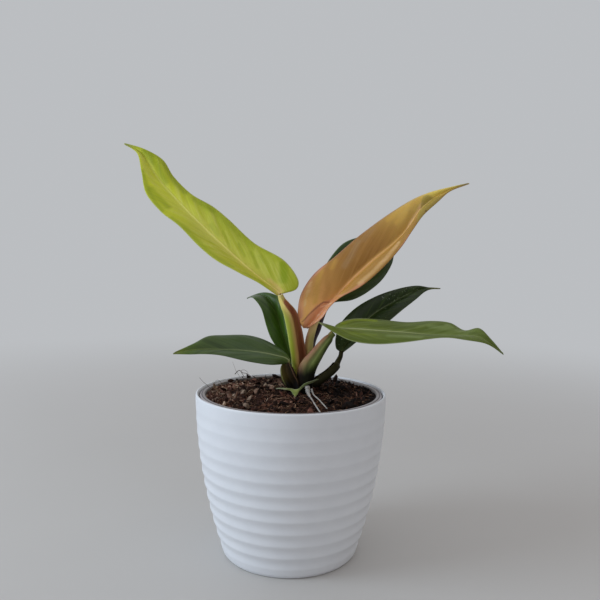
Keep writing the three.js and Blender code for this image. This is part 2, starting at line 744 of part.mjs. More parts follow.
// Pieces give way to those made before them: each petiole to the blades and the petioles listed before it,
// then the stem, the cataphyll and the roots, and the mix to everything that stands in it.
const placed = Object.values(BLADES).map((spec) => toSolid(bladeGeometry(spec, CUT_GROWTH)));

function addFitted(name, make, material) {
  let solid = toSolid(make(0));
  for (const other of placed) {
    solid = solid.subtract(other);
  }
  addMesh(name, toGeometry(solid), material);
  placed.push(toSolid(make(CUT_GROWTH)));
}

for (const [leaf, spec] of Object.entries(PETIOLES)) {
  addFitted(`${leaf}_petiole`, (grow) => petioleGeometry(spec, grow), finish(spec.colour, 0.45));
}
addFitted('stem', stemGeometry, finish(COLOURS.stem, 0.7));
addFitted('cataphyll', (grow) => bladeGeometry(CATAPHYLL, grow), finish(COLOURS.cataphyll, 0.6));
ROOTS.forEach((spec, i) => {
  addFitted(`aerial_root_${i + 1}`, (grow) => petioleGeometry(spec, grow), finish(COLOURS.root, 0.6));
});
addFitted('potting_mix', () => mixGeometry(), finish(COLOURS.mix, 0.95));

export default plant;
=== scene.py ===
"""A potted prince of orange philodendron, dressed for rendering. Metres in Blender, +Z up.

Shapes are worked out in millimetres, from the same named values as the CAD part, and turned into
metres when a mesh is made."""

import math

import bpy
import numpy as np
from mathutils import Matrix, Vector, noise


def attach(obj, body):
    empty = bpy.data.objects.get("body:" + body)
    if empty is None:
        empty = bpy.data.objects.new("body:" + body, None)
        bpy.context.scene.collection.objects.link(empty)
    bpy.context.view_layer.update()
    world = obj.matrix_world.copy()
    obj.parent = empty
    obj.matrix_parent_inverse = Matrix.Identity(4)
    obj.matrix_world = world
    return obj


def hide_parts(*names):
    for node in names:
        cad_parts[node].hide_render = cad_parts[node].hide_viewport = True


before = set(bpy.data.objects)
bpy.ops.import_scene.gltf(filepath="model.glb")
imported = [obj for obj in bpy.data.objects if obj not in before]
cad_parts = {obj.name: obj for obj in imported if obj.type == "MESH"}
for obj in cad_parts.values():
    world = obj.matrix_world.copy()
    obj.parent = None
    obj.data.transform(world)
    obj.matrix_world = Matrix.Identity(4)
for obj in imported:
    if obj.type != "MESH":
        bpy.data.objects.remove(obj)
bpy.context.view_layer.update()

MM = 0.001
GAP = 0.3

# Cover pot and grow pot, in millimetres
POT_HEIGHT = 111
POT_RIM_RADIUS = 65
POT_FOOT_RADIUS = 45.7
POT_FOOT_ROUND = 2
POT_WALL = 1.8
POT_FLOOR = 3
FLUTE_COUNT = 11
FIRST_FLUTE = 11
FLUTE_PITCH = 8.7
FLUTE_DEPTH = 0.75
FLUTE_ROUNDNESS = 0.7
FULL_FLUTES = 6
FLUTE_FADE = 0.17
FAINTEST_FLUTE = 0.35
GROW_FLOOR_Z = POT_FLOOR + GAP
GROW_FLOOR = 1.4
GROW_WALL = 1.2
GROW_FOOT_RADIUS = 41
GROW_TOP_RADIUS = 58.2
GROW_BAND_RADIUS = 59.6
GROW_BAND_Z = 99
GROW_RIM_RADIUS = 62.6
GROW_TOP_Z = 110.3
GROW_RIM_DEPTH = 3
GROW_SHOULDER = 1.6
DRAIN_HOLES = 6
DRAIN_RADIUS = 4
DRAIN_CIRCLE = 28

# Potting mix
MIX_EDGE_Z = 108.6
MOUND_HEIGHT = 3
MOUND_SPREAD = 24
LUMP_HEIGHT = 0.7
CROWN_X = 6
CROWN_Y = 5
MIX_RADIUS = GROW_BAND_RADIUS - GROW_WALL - GAP

random = np.random.default_rng(11)


# Colours and nodes

def srgb(code):
    """A hex colour as linear RGBA."""
    channels = [int(code[i:i + 2], 16) / 255 for i in (1, 3, 5)]
    return (*(c / 12.92 if c <= 0.04045 else ((c + 0.055) / 1.055) ** 2.4 for c in channels), 1.0)


class Nodes:
    """Short ways to make and wire the nodes of a tree. A colour may be a hex code."""

    def __init__(self, tree):
        self.tree = tree

    def node(self, kind, inputs=(), **settings):
        made = self.tree.nodes.new(kind)
        for key, value in settings.items():
            setattr(made, key, value)
        for socket, value in dict(inputs).items():
            self.feed(made.inputs[socket], value)
        return made

    def feed(self, socket, value):
        if isinstance(value, bpy.types.NodeSocket):
            self.tree.links.new(value, socket)
        else:
            socket.default_value = srgb(value) if isinstance(value, str) else value

    def math(self, operation, a, b=0.0, clamp=False):
        return self.node("ShaderNodeMath", {0: a, 1: b}, operation=operation, use_clamp=clamp).outputs[0]

    def times(self, product, *others):
        for other in others:
            product = self.math("MULTIPLY", product, other)
        return product

    def scaled(self, value, factor, start):
        return self.math("ADD", self.times(value, factor), start)

    def stirred(self, value, source, amount, clamp=False):
        """The value with noise added to it, as much up as down."""
        return self.math("ADD", value, self.times(self.math("SUBTRACT", source, 0.5), amount), clamp)

    def rise(self, value, low, high):
        """0 below low, 1 above high, smooth between. low may be the larger."""
        ends = (low, high, 0.0, 1.0) if low <= high else (high, low, 1.0, 0.0)
        inputs = {0: value, **dict(enumerate(ends, 1))}
        return self.node("ShaderNodeMapRange", inputs, interpolation_type="SMOOTHSTEP").outputs[0]

    def mix(self, factor, a, b):
        return self.node("ShaderNodeMix", {0: factor, 6: a, 7: b}, data_type="RGBA").outputs[2]

    def tint(self, colour, other, *shares):
        """A colour with another laid over it, by the product of the shares."""
        return self.mix(self.times(*shares), colour, other)

    def ramp(self, factor, stops):
        made = self.node("ShaderNodeValToRGB", {0: factor})
        elements = made.color_ramp.elements
        for element, (place, code) in zip(elements, (stops[0], stops[-1])):
            element.position = place
            element.color = srgb(code)
        for place, code in stops[1:-1]:
            elements.new(place).color = srgb(code)
        return made.outputs[0]

    def length(self, place):
        return self.node("ShaderNodeVectorMath", {0: place}, operation="LENGTH").outputs["Value"]


class Surface(Nodes):
    """A material made of nodes round one Principled shader."""

    def __init__(self, name, specular=0.5, roughness=0.5):
        self.material = bpy.data.materials.new(name)
        self.material.use_nodes = True
        super().__init__(self.material.node_tree)
        self.shader = self.tree.nodes["Principled BSDF"]
        self.feed(self.shader.inputs["Roughness"], roughness)
        self.feed(self.shader.inputs["Specular IOR Level"], specular)
        self.place = self.node("ShaderNodeTexCoord").outputs["Object"]
        self.x, self.y, self.z = self.node("ShaderNodeSeparateXYZ", {0: self.place}).outputs

    def attribute(self, name):
        return self.node("ShaderNodeAttribute", attribute_name=name).outputs["Fac"]

    def combine(self, x, y, z):
        return self.node("ShaderNodeCombineXYZ", {0: x, 1: y, 2: z}).outputs[0]

    def noise(self, scale, detail=3.0, stretch=None, roughness=0.55, place=None):
        place = place or self.place
        if stretch is not None:
            place = self.node("ShaderNodeMapping", {0: place, 3: stretch}).outputs[0]
        values = {"Vector": place, "Scale": scale, "Detail": detail, "Roughness": roughness}
        return self.node("ShaderNodeTexNoise", values).outputs[0]

    def bump(self, height, strength, distance):
        values = {"Height": height, "Strength": strength, "Distance": distance}
        before = self.shader.inputs["Normal"]
        if before.is_linked:
            values["Normal"] = before.links[0].from_socket
        self.feed(before, self.node("ShaderNodeBump", values).outputs[0])

    def soften(self, weight, radius, scale):
        """Lets light into the skin and out again near by."""
        for key, value in (("Weight", weight), ("Radius", radius), ("Scale", scale)):
            self.feed(self.shader.inputs["Subsurface " + key], value)

    def finish(self, colour, roughness):
        self.feed(self.shader.inputs["Base Color"], colour)
        self.feed(self.shader.inputs["Roughness"], roughness)
        return self.material


# Meshes

def make_object(name, form, material):
    """An object from a form, which is its points in millimetres and its faces."""
    points, faces = form
    mesh = bpy.data.meshes.new(name)
    mesh.from_pydata((np.asarray(points, float) * MM).tolist(), [], faces)
    mesh.materials.append(material)
    made = bpy.data.objects.new(name, mesh)
    bpy.context.scene.collection.objects.link(made)
    return made


def add_piece(name, form, material, replaces=(), attributes=None):
    """A smooth-shaded piece that rides on the plant's one body."""
    piece = make_object(name, form, material)
    piece.data.shade_smooth()
    for key, values in (attributes or {}).items():
        made = piece.data.attributes.new(key, "FLOAT", "POINT")
        made.data.foreach_set("value", np.asarray(values, np.float32))
    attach(piece, "root")
    if replaces:
        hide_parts(*replaces)
    return piece


def grid_faces(rows, columns, start=0, closed=False, flip=False):
    """Quads of a grid of points, its columns joined end to end if closed."""
    faces = []
    spans = columns if closed else columns - 1
    for row in range(rows - 1):
        for column in range(spans):
            a = start + row * columns + column
            b = start + row * columns + (column + 1) % columns
            face = (a, b, b + columns, a + columns)
            faces.append(face[::-1] if flip else face)
    return faces


def fan(tip, start, count, flip=False):
    """Triangles from one point to a closed ring of points."""
    faces = [(tip, start + k, start + (k + 1) % count) for k in range(count)]
    return [face[::-1] for face in faces] if flip else faces


def skin(rings, ends, flip=False):
    """The closed form of rings of points joined in turn, with a point that closes each end."""
    rows, around = rings.shape[:2]
    tip = rows * around
    points = np.concatenate([rings.reshape(-1, 3), np.reshape(ends, (2, 3))])
    faces = grid_faces(rows, around, closed=True, flip=flip)
    faces += fan(tip, 0, around, not flip) + fan(tip + 1, tip - around, around, flip)
    return points, faces


def turned(radii, heights, around):
    """Rings of points about Z."""
    angles = np.linspace(0, 2 * math.pi, around, endpoint=False)
    r, z = np.reshape(radii, (-1, 1)), np.reshape(heights, (-1, 1))
    return np.stack(np.broadcast_arrays(r * np.cos(angles), r * np.sin(angles), z), axis=2)


def lathe(profile, around):
    """The form of a closed profile of (radius, height) turned about Z. It starts and ends on the axis."""
    radii, heights = zip(*profile[1:-1])
    return skin(turned(radii, heights, around), [(0, 0, profile[0][1]), (0, 0, profile[-1][1])])


def sheet(middle, up, above, below):
    """The closed form of a thin sheet, from its middle surface and how far it goes up and down."""
    rows, columns = middle.shape[:2]
    count = rows * columns
    points = [(middle + up * offset[..., None]).reshape(-1, 3) for offset in (above, below)]
    faces = grid_faces(rows, columns) + grid_faces(rows, columns, count, flip=True)
    edge = [*range(columns - 1), *range(columns - 1, count - 1, columns)]
    edge += [*range(count - 1, count - columns, -1), *range(count - columns, 0, -columns)]
    faces += [(a, a + count, b + count, b) for a, b in zip(edge, edge[1:] + edge[:1])]
    return np.concatenate(points), faces


def on_sheet(values, middle):
    """Values for the points of a sheet, the same above and below."""
    return np.tile(np.broadcast_to(values, middle.shape[:2]).ravel(), 2)


def curve(points, places):
    """Catmull-Rom curve through points, read at places from 0 to 1."""
    points = np.asarray(points, float)
    spans = len(points) - 1
    padded = np.vstack([2 * points[0] - points[1], points, 2 * points[-1] - points[-2]])
    along = np.clip(places, 0, 1) * spans
    index = np.minimum(along.astype(int), spans - 1)
    w = (along - index)[:, None]
    before, here, there, after = (padded[index + k] for k in range(4))
    leave = 0.5 * (there - before)
    arrive = 0.5 * (after - here)
    return (here + leave * w + (3 * (there - here) - 2 * leave - arrive) * w ** 2
            + (2 * (here - there) + leave + arrive) * w ** 3)


def unit(vectors):
    return vectors / np.maximum(np.linalg.norm(vectors, axis=-1, keepdims=True), 1e-9)


def tangents(points):
    """Directions along a row of close points."""
    return unit(np.gradient(points, axis=0))


def upward(middle):
    """Directions square to a grid of points, on its upper side."""
    return unit(np.cross(tangents(middle), unit(-np.gradient(middle, axis=1))))


# Cover pot

# The rounded lip: how far in from the rim's radius, and how far below its top
POT_LIP = [(0.07, 1), (0.12, 0.6), (0.28, 0.25), (0.55, 0.05), (0.9, 0), (1.3, 0.07), (1.6, 0.3), (1.8, 0.7)]
WALL_STEP = 0.4
LIP_Z = 109.6
INNER_TOP_Z = 96
# Keeps the finer wall within the CAD part's faceted one
SKIM = 0.05


def pot_body_radius(z):
    return POT_RIM_RADIUS - (POT_RIM_RADIUS - POT_FOOT_RADIUS) * (1 - z / POT_HEIGHT) ** 2


def flute_dip(z):
    """How far the wall is drawn in between two ribs at a height."""
    phase = (z - FIRST_FLUTE) / FLUTE_PITCH
    if not -0.5 < phase < FLUTE_COUNT - 0.5:
        return 0
    strength = min(1, max(FAINTEST_FLUTE, 1 - FLUTE_FADE * (phase + 1 - FULL_FLUTES)))
    return FLUTE_DEPTH * strength * (0.5 + 0.5 * math.cos(2 * math.pi * phase)) ** FLUTE_ROUNDNESS


def make_cover_pot():
    flat = POT_FOOT_RADIUS - POT_FOOT_ROUND
    profile = [(0, 0), (flat - 4, 0), (flat - 0.2, 0)]
    for angle in np.linspace(0, math.pi / 2, 9)[1:-1]:
        profile.append((flat + POT_FOOT_ROUND * math.sin(angle), POT_FOOT_ROUND * (1 - math.cos(angle))))
    for z in np.arange(POT_FOOT_ROUND + 0.2, LIP_Z, WALL_STEP):
        profile.append((pot_body_radius(z) - SKIM - flute_dip(z), z))
    profile += [(POT_RIM_RADIUS - inward, POT_HEIGHT - down) for inward, down in POT_LIP]
    for z in np.linspace(INNER_TOP_Z, POT_FLOOR + 0.6, 24):
        profile.append((pot_body_radius(z) - POT_WALL - FLUTE_DEPTH, z))
    profile += [(profile[-1][0] - 0.6, POT_FLOOR), (0, POT_FLOOR)]

    s = Surface("white_plastic", 0.4)
    mottle = s.noise(90, 4)
    smudge = s.rise(s.noise(22, 5), 0.55, 0.8)
    roughness = s.math("ADD", s.scaled(mottle, 0.1, 0.38), s.times(smudge, 0.06))
    s.bump(s.noise(2600, 2), 0.12, 0.0002)
    s.bump(s.noise(140, 3), 0.1, 0.0006)
    material = s.finish(s.mix(mottle, "#e4e6ea", "#edeef1"), roughness)
    add_piece("cover_pot_shell", lathe(profile, 224), material, ["cover_pot"])


# Rings of painted highlight and shade on the grow pot's rim: from and to radius, share, colour
RIM_LIGHT_AND_SHADE = [
    (58.9, 60.4, 0.7, "#a59c9c"), (60.3, 61.3, 0.85, "#4e4748"), (61.1, 62.2, 0.9, "#c4bcbe"),
    (62.2, 64, 0.8, "#6e676a"),
]
RING_BLUR = 0.25


def make_grow_pot():
    floor_top = GROW_FLOOR_Z + GROW_FLOOR
    slope = (GROW_TOP_RADIUS - GROW_FOOT_RADIUS) / (GROW_BAND_Z - GROW_FLOOR_Z)
    wall = [(GROW_FOOT_RADIUS + slope * (z - GROW_FLOOR_Z), z)
            for z in np.linspace(GROW_FLOOR_Z + 1.5, GROW_BAND_Z, 20)]
    lining = [(GROW_FOOT_RADIUS + slope * (z - GROW_FLOOR_Z) - GROW_WALL, z)
              for z in np.linspace(GROW_BAND_Z, floor_top, 20)]
    rim_foot = GROW_TOP_Z - GROW_RIM_DEPTH
    shoulder = GROW_RIM_RADIUS - GROW_SHOULDER
    inner = GROW_BAND_RADIUS - GROW_WALL
    profile = [
        (0, GROW_FLOOR_Z), (20, GROW_FLOOR_Z), (GROW_FOOT_RADIUS - 1.5, GROW_FLOOR_Z), *wall,
        (GROW_BAND_RADIUS, GROW_BAND_Z + 1.5), (GROW_BAND_RADIUS, rim_foot - 0.5),
        (GROW_RIM_RADIUS - 0.2, rim_foot), (GROW_RIM_RADIUS, rim_foot + 0.3),
        (GROW_RIM_RADIUS, GROW_TOP_Z - 1.2), (GROW_RIM_RADIUS - 0.2, GROW_TOP_Z - 0.9),
        (shoulder + 0.35, GROW_TOP_Z - 0.2), (shoulder, GROW_TOP_Z - 0.03), (shoulder - 0.4, GROW_TOP_Z),
        (GROW_BAND_RADIUS - 0.5, GROW_TOP_Z), (GROW_BAND_RADIUS - 0.9, GROW_TOP_Z - 0.12),
        (inner, GROW_TOP_Z - 0.5), (inner, GROW_BAND_Z + 1.5), *lining, (20, floor_top), (0, floor_top),
    ]

    s = Surface("grey_plastic", 0.45)
    streaks = s.noise(60, 4, (1, 1, 6))
    colour = s.mix(streaks, "#77706e", "#8f8884")
    colour = s.tint(colour, "#4d3f36", s.rise(s.noise(420, 5), 0.62, 0.75), 0.35)
    out = s.length(s.combine(s.x, s.y, 0.0))
    # Paints the rim's highlight and shade as rings of colour
    for low, high, share, code in RIM_LIGHT_AND_SHADE:
        inside = s.rise(out, high * MM, (high - RING_BLUR) * MM)
        colour = s.tint(colour, code, s.rise(out, low * MM, (low + RING_BLUR) * MM), inside, share)
    s.bump(streaks, 0.15, 0.0004)
    material = s.finish(colour, s.scaled(streaks, 0.2, 0.36))
    pot = add_piece("grow_pot_shell", lathe(profile, 192), material, ["grow_pot"])
    for angle in np.linspace(0, 2 * math.pi, DRAIN_HOLES, endpoint=False):
        place = Vector((DRAIN_CIRCLE * math.cos(angle), DRAIN_CIRCLE * math.sin(angle), GROW_FLOOR_Z)) * MM
        cut_hole(pot, place, DRAIN_RADIUS * MM, 4 * GROW_FLOOR * MM)


def cut_hole(piece, place, radius, depth):
    """Cuts one round hole along Z and leaves no modifier behind."""
    bpy.ops.mesh.primitive_cylinder_add(vertices=32, radius=radius, depth=depth, location=place)
    drill = bpy.context.active_object
    modifier = piece.modifiers.new("hole", "BOOLEAN")
    modifier.object = drill
    modifier.operation = "DIFFERENCE"
    modifier.solver = "EXACT"
    bpy.context.view_layer.update()
    cut = bpy.data.meshes.new_from_object(piece.evaluated_get(bpy.context.evaluated_depsgraph_get()))
    piece.modifiers.remove(modifier)
    piece.data = cut
    bpy.data.objects.remove(drill)


# Leaf blades

BLADE_ROWS = 190
HALF_COLUMNS = 26
RIB_EASE = 0.1
VEIN_LEAN = 2.3
VEIN_BEND = 0.01
BLADE_THICKNESS = 0.62
MARGIN_THINNING = 0.4


def blade_points(spec, u, v):
    """Points of the blade's middle surface, for rows u and columns v."""
    left, rib, right = (curve([s[k] for s in spec["stations"]], u) for k in range(3))
    forward = tangents(rib)
    taper = np.clip(np.sin(np.pi * u), 0, 1)[:, None]
    reach = np.abs(v)[None, :]
    on_left = (v < 0)[None, :, None]
    margin = np.where(on_left, left[:, None], right[:, None])
    middle = rib[:, None] + (margin - rib[:, None]) * reach[..., None]
    sideways = np.where(on_left, left[:, None] - rib[:, None], rib[:, None] - right[:, None])
    up = unit(np.cross(forward[:, None], sideways))
    swell = np.where(v < 0, *spec["swell"])[None, :]
    height, count, phase = spec["wave"]
    phases = np.where(v < 0, phase, phase + 2)[None, :]
    eased = reach ** 2 / (reach + RIB_EASE)
    crown = swell * 4 * eased * (1 - reach) * np.sqrt(taper)
    ripple = height * reach ** 2 * taper * np.sin(2 * np.pi * count * u[:, None] + phases)
    return middle + up * (crown + ripple)[..., None]


def stroke_mask(strokes, u, v, run, across):
    """How strongly painted strokes cover each point of a blade: 1 on a path, 0 a radius away."""
    signed = across * np.sign(v)[None, :]
    length = np.broadcast_to(run[:, None], signed.shape)
    mask = 0
    for share, radius, path in strokes:
        rows = np.clip(np.searchsorted(u, [p[0] for p in path]), 0, len(u) - 1)
        columns = np.clip(np.searchsorted(v, [p[1] for p in path]), 0, len(v) - 1)
        corners = [np.array([run[r], signed[r, c]]) for r, c in zip(rows, columns)]
        nearest = np.full(signed.shape, np.inf)
        for start, end in zip(corners, corners[1:]):
            way = end - start
            off = np.stack([length - start[0], signed - start[1]], axis=-1)
            along = np.clip((off @ way) / max(way @ way, 1e-9), 0, 1)
            nearest = np.minimum(nearest, np.linalg.norm(off - along[..., None] * way, axis=-1))
        fall = np.clip(1.25 - nearest / radius, 0, 1)
        mask = np.maximum(mask, fall * fall * (3 - 2 * fall) * share)
    return mask


def make_blade(name, spec, material):
    u = np.linspace(0, 1, BLADE_ROWS)
    shares = np.linspace(0, 1, HALF_COLUMNS) ** 1.5
    v = np.concatenate([-shares[:0:-1], shares])
    middle = blade_points(spec, u, v)
    centre = HALF_COLUMNS - 1

    # Distances in millimetres: across from the midrib, along it, and along it by way of a side vein
    step = np.linalg.norm(np.diff(middle, axis=1), axis=2)
    across = np.zeros(middle.shape[:2])
    across[:, centre + 1:] = np.cumsum(step[:, centre:], axis=1)
    across[:, :centre] = np.cumsum(step[:, centre - 1::-1], axis=1)[:, ::-1]
    run = np.append(0, np.cumsum(np.linalg.norm(np.diff(middle[:, centre], axis=0), axis=1)))
    vein = run[:, None] - VEIN_LEAN * across - VEIN_BEND * across ** 2

    taper = np.clip(np.sin(np.pi * u), 0, 1)[:, None]
    reach = np.abs(v)[None, :]
    body = 4 * reach * (1 - reach) * np.sqrt(taper)
    side = np.broadcast_to(np.sign(v)[None, :], vein.shape)
    places = zip((vein / spec["fold_pitch"]).ravel(), (across * 0.05).ravel(), side.ravel() * 4)
    folds = np.array([noise.noise(Vector(place)) for place in places]).reshape(vein.shape)
    pleat = spec["pleat"] * body * 2.2 * folds
    half_thick = (BLADE_THICKNESS - MARGIN_THINNING * reach ** 5) / 2

    # The midrib stands a little over the upper side, between two faint furrows, and well under the lower one.
    slim = 1 - 0.65 * u[:, None]
    raised = 0.3 * slim * np.exp(-(across / slim) ** 2)
    raised = raised - 0.15 * slim * np.exp(-((across / slim - 2.2) / 0.8) ** 2)
    ridge = (spec["rib_depth"] * (1 - u) ** 0.8)[:, None] * np.exp(-(across / (1.5 - 0.9 * u[:, None])) ** 2)
    form = sheet(middle, upward(middle), pleat + half_thick + raised, pleat - half_thick - ridge)

    values = {"leaf_u": u[:, None], "leaf_v": v, "leaf_vein": vein, "leaf_across": across, "leaf_side": side}
    for kind, strokes in STROKES.get(name, {}).items():
        values["paint_" + kind] = stroke_mask(strokes, u, v, run, across)
    attributes = {key: on_sheet(value, middle) for key, value in values.items()}
    attributes["leaf_upper"] = np.repeat([1.0, 0.0], vein.size)
    add_piece(name + "_leaf", form, material, [name + "_blade"], attributes)


def zone_mask(s, u, v, zone):
    """Where a patch of colour lies: within an oval, and on one side of each of some soft lines."""
    parts = []
    if "at" in zone:
        offsets = [s.math("DIVIDE", s.math("SUBTRACT", value, middle), size)
                   for value, middle, size in zip((u, v), zone["at"], zone["size"])]
        far = s.math("SQRT", s.math("ADD", *(s.times(offset, offset) for offset in offsets)))
        ragged = s.stirred(far, s.noise(90, 3), zone.get("ragged", 0.8))
        parts.append(s.rise(ragged, 1.0, zone.get("soft", 0.35)))
    for along, across, low, high in zone.get("lines", ()):
        parts.append(s.rise(s.math("ADD", s.times(u, along), s.times(v, across)), low, high))
    return s.times(*parts)


def blade_surface(name, look):
    """A leaf's skin: its zones of colour, streaks along the side veins, midrib and margin."""
    s = Surface(name, look.get("specular", 0.35))
    u, v, vein, across, side = (s.attribute("leaf_" + key) for key in ("u", "v", "vein", "across", "side"))
    reach = s.math("ABSOLUTE", v)

    # Noise read along the side veins, which leave the midrib at a narrow angle
    bent = s.stirred(vein, s.noise(60, 2), 5.0)
    by_vein = s.combine(s.times(bent, 0.1), s.times(across, 0.03), s.times(side, 7.0))
    broad, medium, fine = (s.noise(scale, 2, place=by_vein) for scale in (0.8, 2.1, 7.0))
    uneven = s.scaled(medium, 1.2, 0.4)
    before_tip = s.rise(u, 0.95, 0.75)
    fading = s.times(s.rise(reach, 1.0, 0.5), s.rise(u, 0.98, 0.85))

    def zoned(colour, key):
        for zone in look.get(key, ()):
            colour = s.tint(colour, zone["colour"], zone_mask(s, u, v, zone), zone["share"])
        return colour

    def painted(colour, key):
        for kind, code in look.get(key, {}).items():
            share = s.math("MULTIPLY", s.attribute("paint_" + kind), uneven, clamp=True)
            colour = s.mix(share, colour, code)
        return colour

    colour = zoned(s.ramp(u, look["along"]), "zones")
    patch, line = look["patch_colour"], look["line_colour"]
    edge = s.rise(s.stirred(reach, medium, 0.7), 0.35, 0.95)
    colour = s.tint(colour, look.get("edge_colour", patch), edge, look.get("edge", 0.0))
    colour = s.tint(colour, patch, s.rise(broad, 0.5, 0.36), before_tip, look["patch"])
    colour = s.tint(colour, look["streak_colour"], s.rise(broad, 0.5, 0.64), fading, look["streak"])
    colour = s.tint(colour, line, s.rise(medium, 0.53, 0.64), fading, look["line"])
    colour = s.tint(colour, patch, s.rise(medium, 0.47, 0.36), before_tip, look.get("dim", 0.25))
    colour = painted(colour, "paint")
    colour = s.tint(colour, line, s.rise(fine, 0.5, 0.65), look["fine"])

    # Midrib: a pale line with a soft glow beside it, stronger on one side
    width = look["rib_width"]
    rib = s.math("DIVIDE", across, s.math("SUBTRACT", width, s.times(u, 0.7 * width)))
    rib_colour = s.ramp(u, look["rib"])
    left_glow, right_glow = look["rib_glow"]
    glow = s.scaled(side, 0.5 * (right_glow - left_glow), 0.5 * (right_glow + left_glow))
    colour = s.tint(colour, rib_colour, s.rise(rib, look.get("rib_reach", 6.0), 0.8), glow)
    colour = zoned(colour, "marks")
    colour = s.tint(colour, rib_colour, s.rise(rib, 1.2, 0.5), look.get("rib_share", 0.9))
    colour = painted(colour, "lines")

    # Margin and underside
    colour = s.tint(colour, look["margin_colour"], s.rise(reach, 0.95, 0.99), look["margin"])
    under = s.math("SUBTRACT", 1.0, s.attribute("leaf_upper"))
    colour = s.tint(colour, look["under_colour"], under, look["under"])
    grain = s.noise(900, 3)
    colour = s.tint(colour, patch, s.rise(grain, 0.45, 0.75), 0.12)
    if "speck" in look:
        where = s.times(s.rise(s.noise(60, 1), 0.48, 0.6), look["speck"])
        colour = s.tint(colour, look["speck_colour"], s.rise(s.noise(650, 2), 0.62, 0.7), where)

    s.bump(fine, 0.3, 0.0002)
    s.bump(medium, look.get("relief", 0.4), 0.0006)
    s.bump(grain, 0.15, 0.00012)
    s.soften(look.get("soft", 0.12), (0.6, 0.8, 0.2), 0.002)
    return s.finish(colour, s.scaled(s.noise(50, 3), 0.2, look["roughness"] - 0.1))


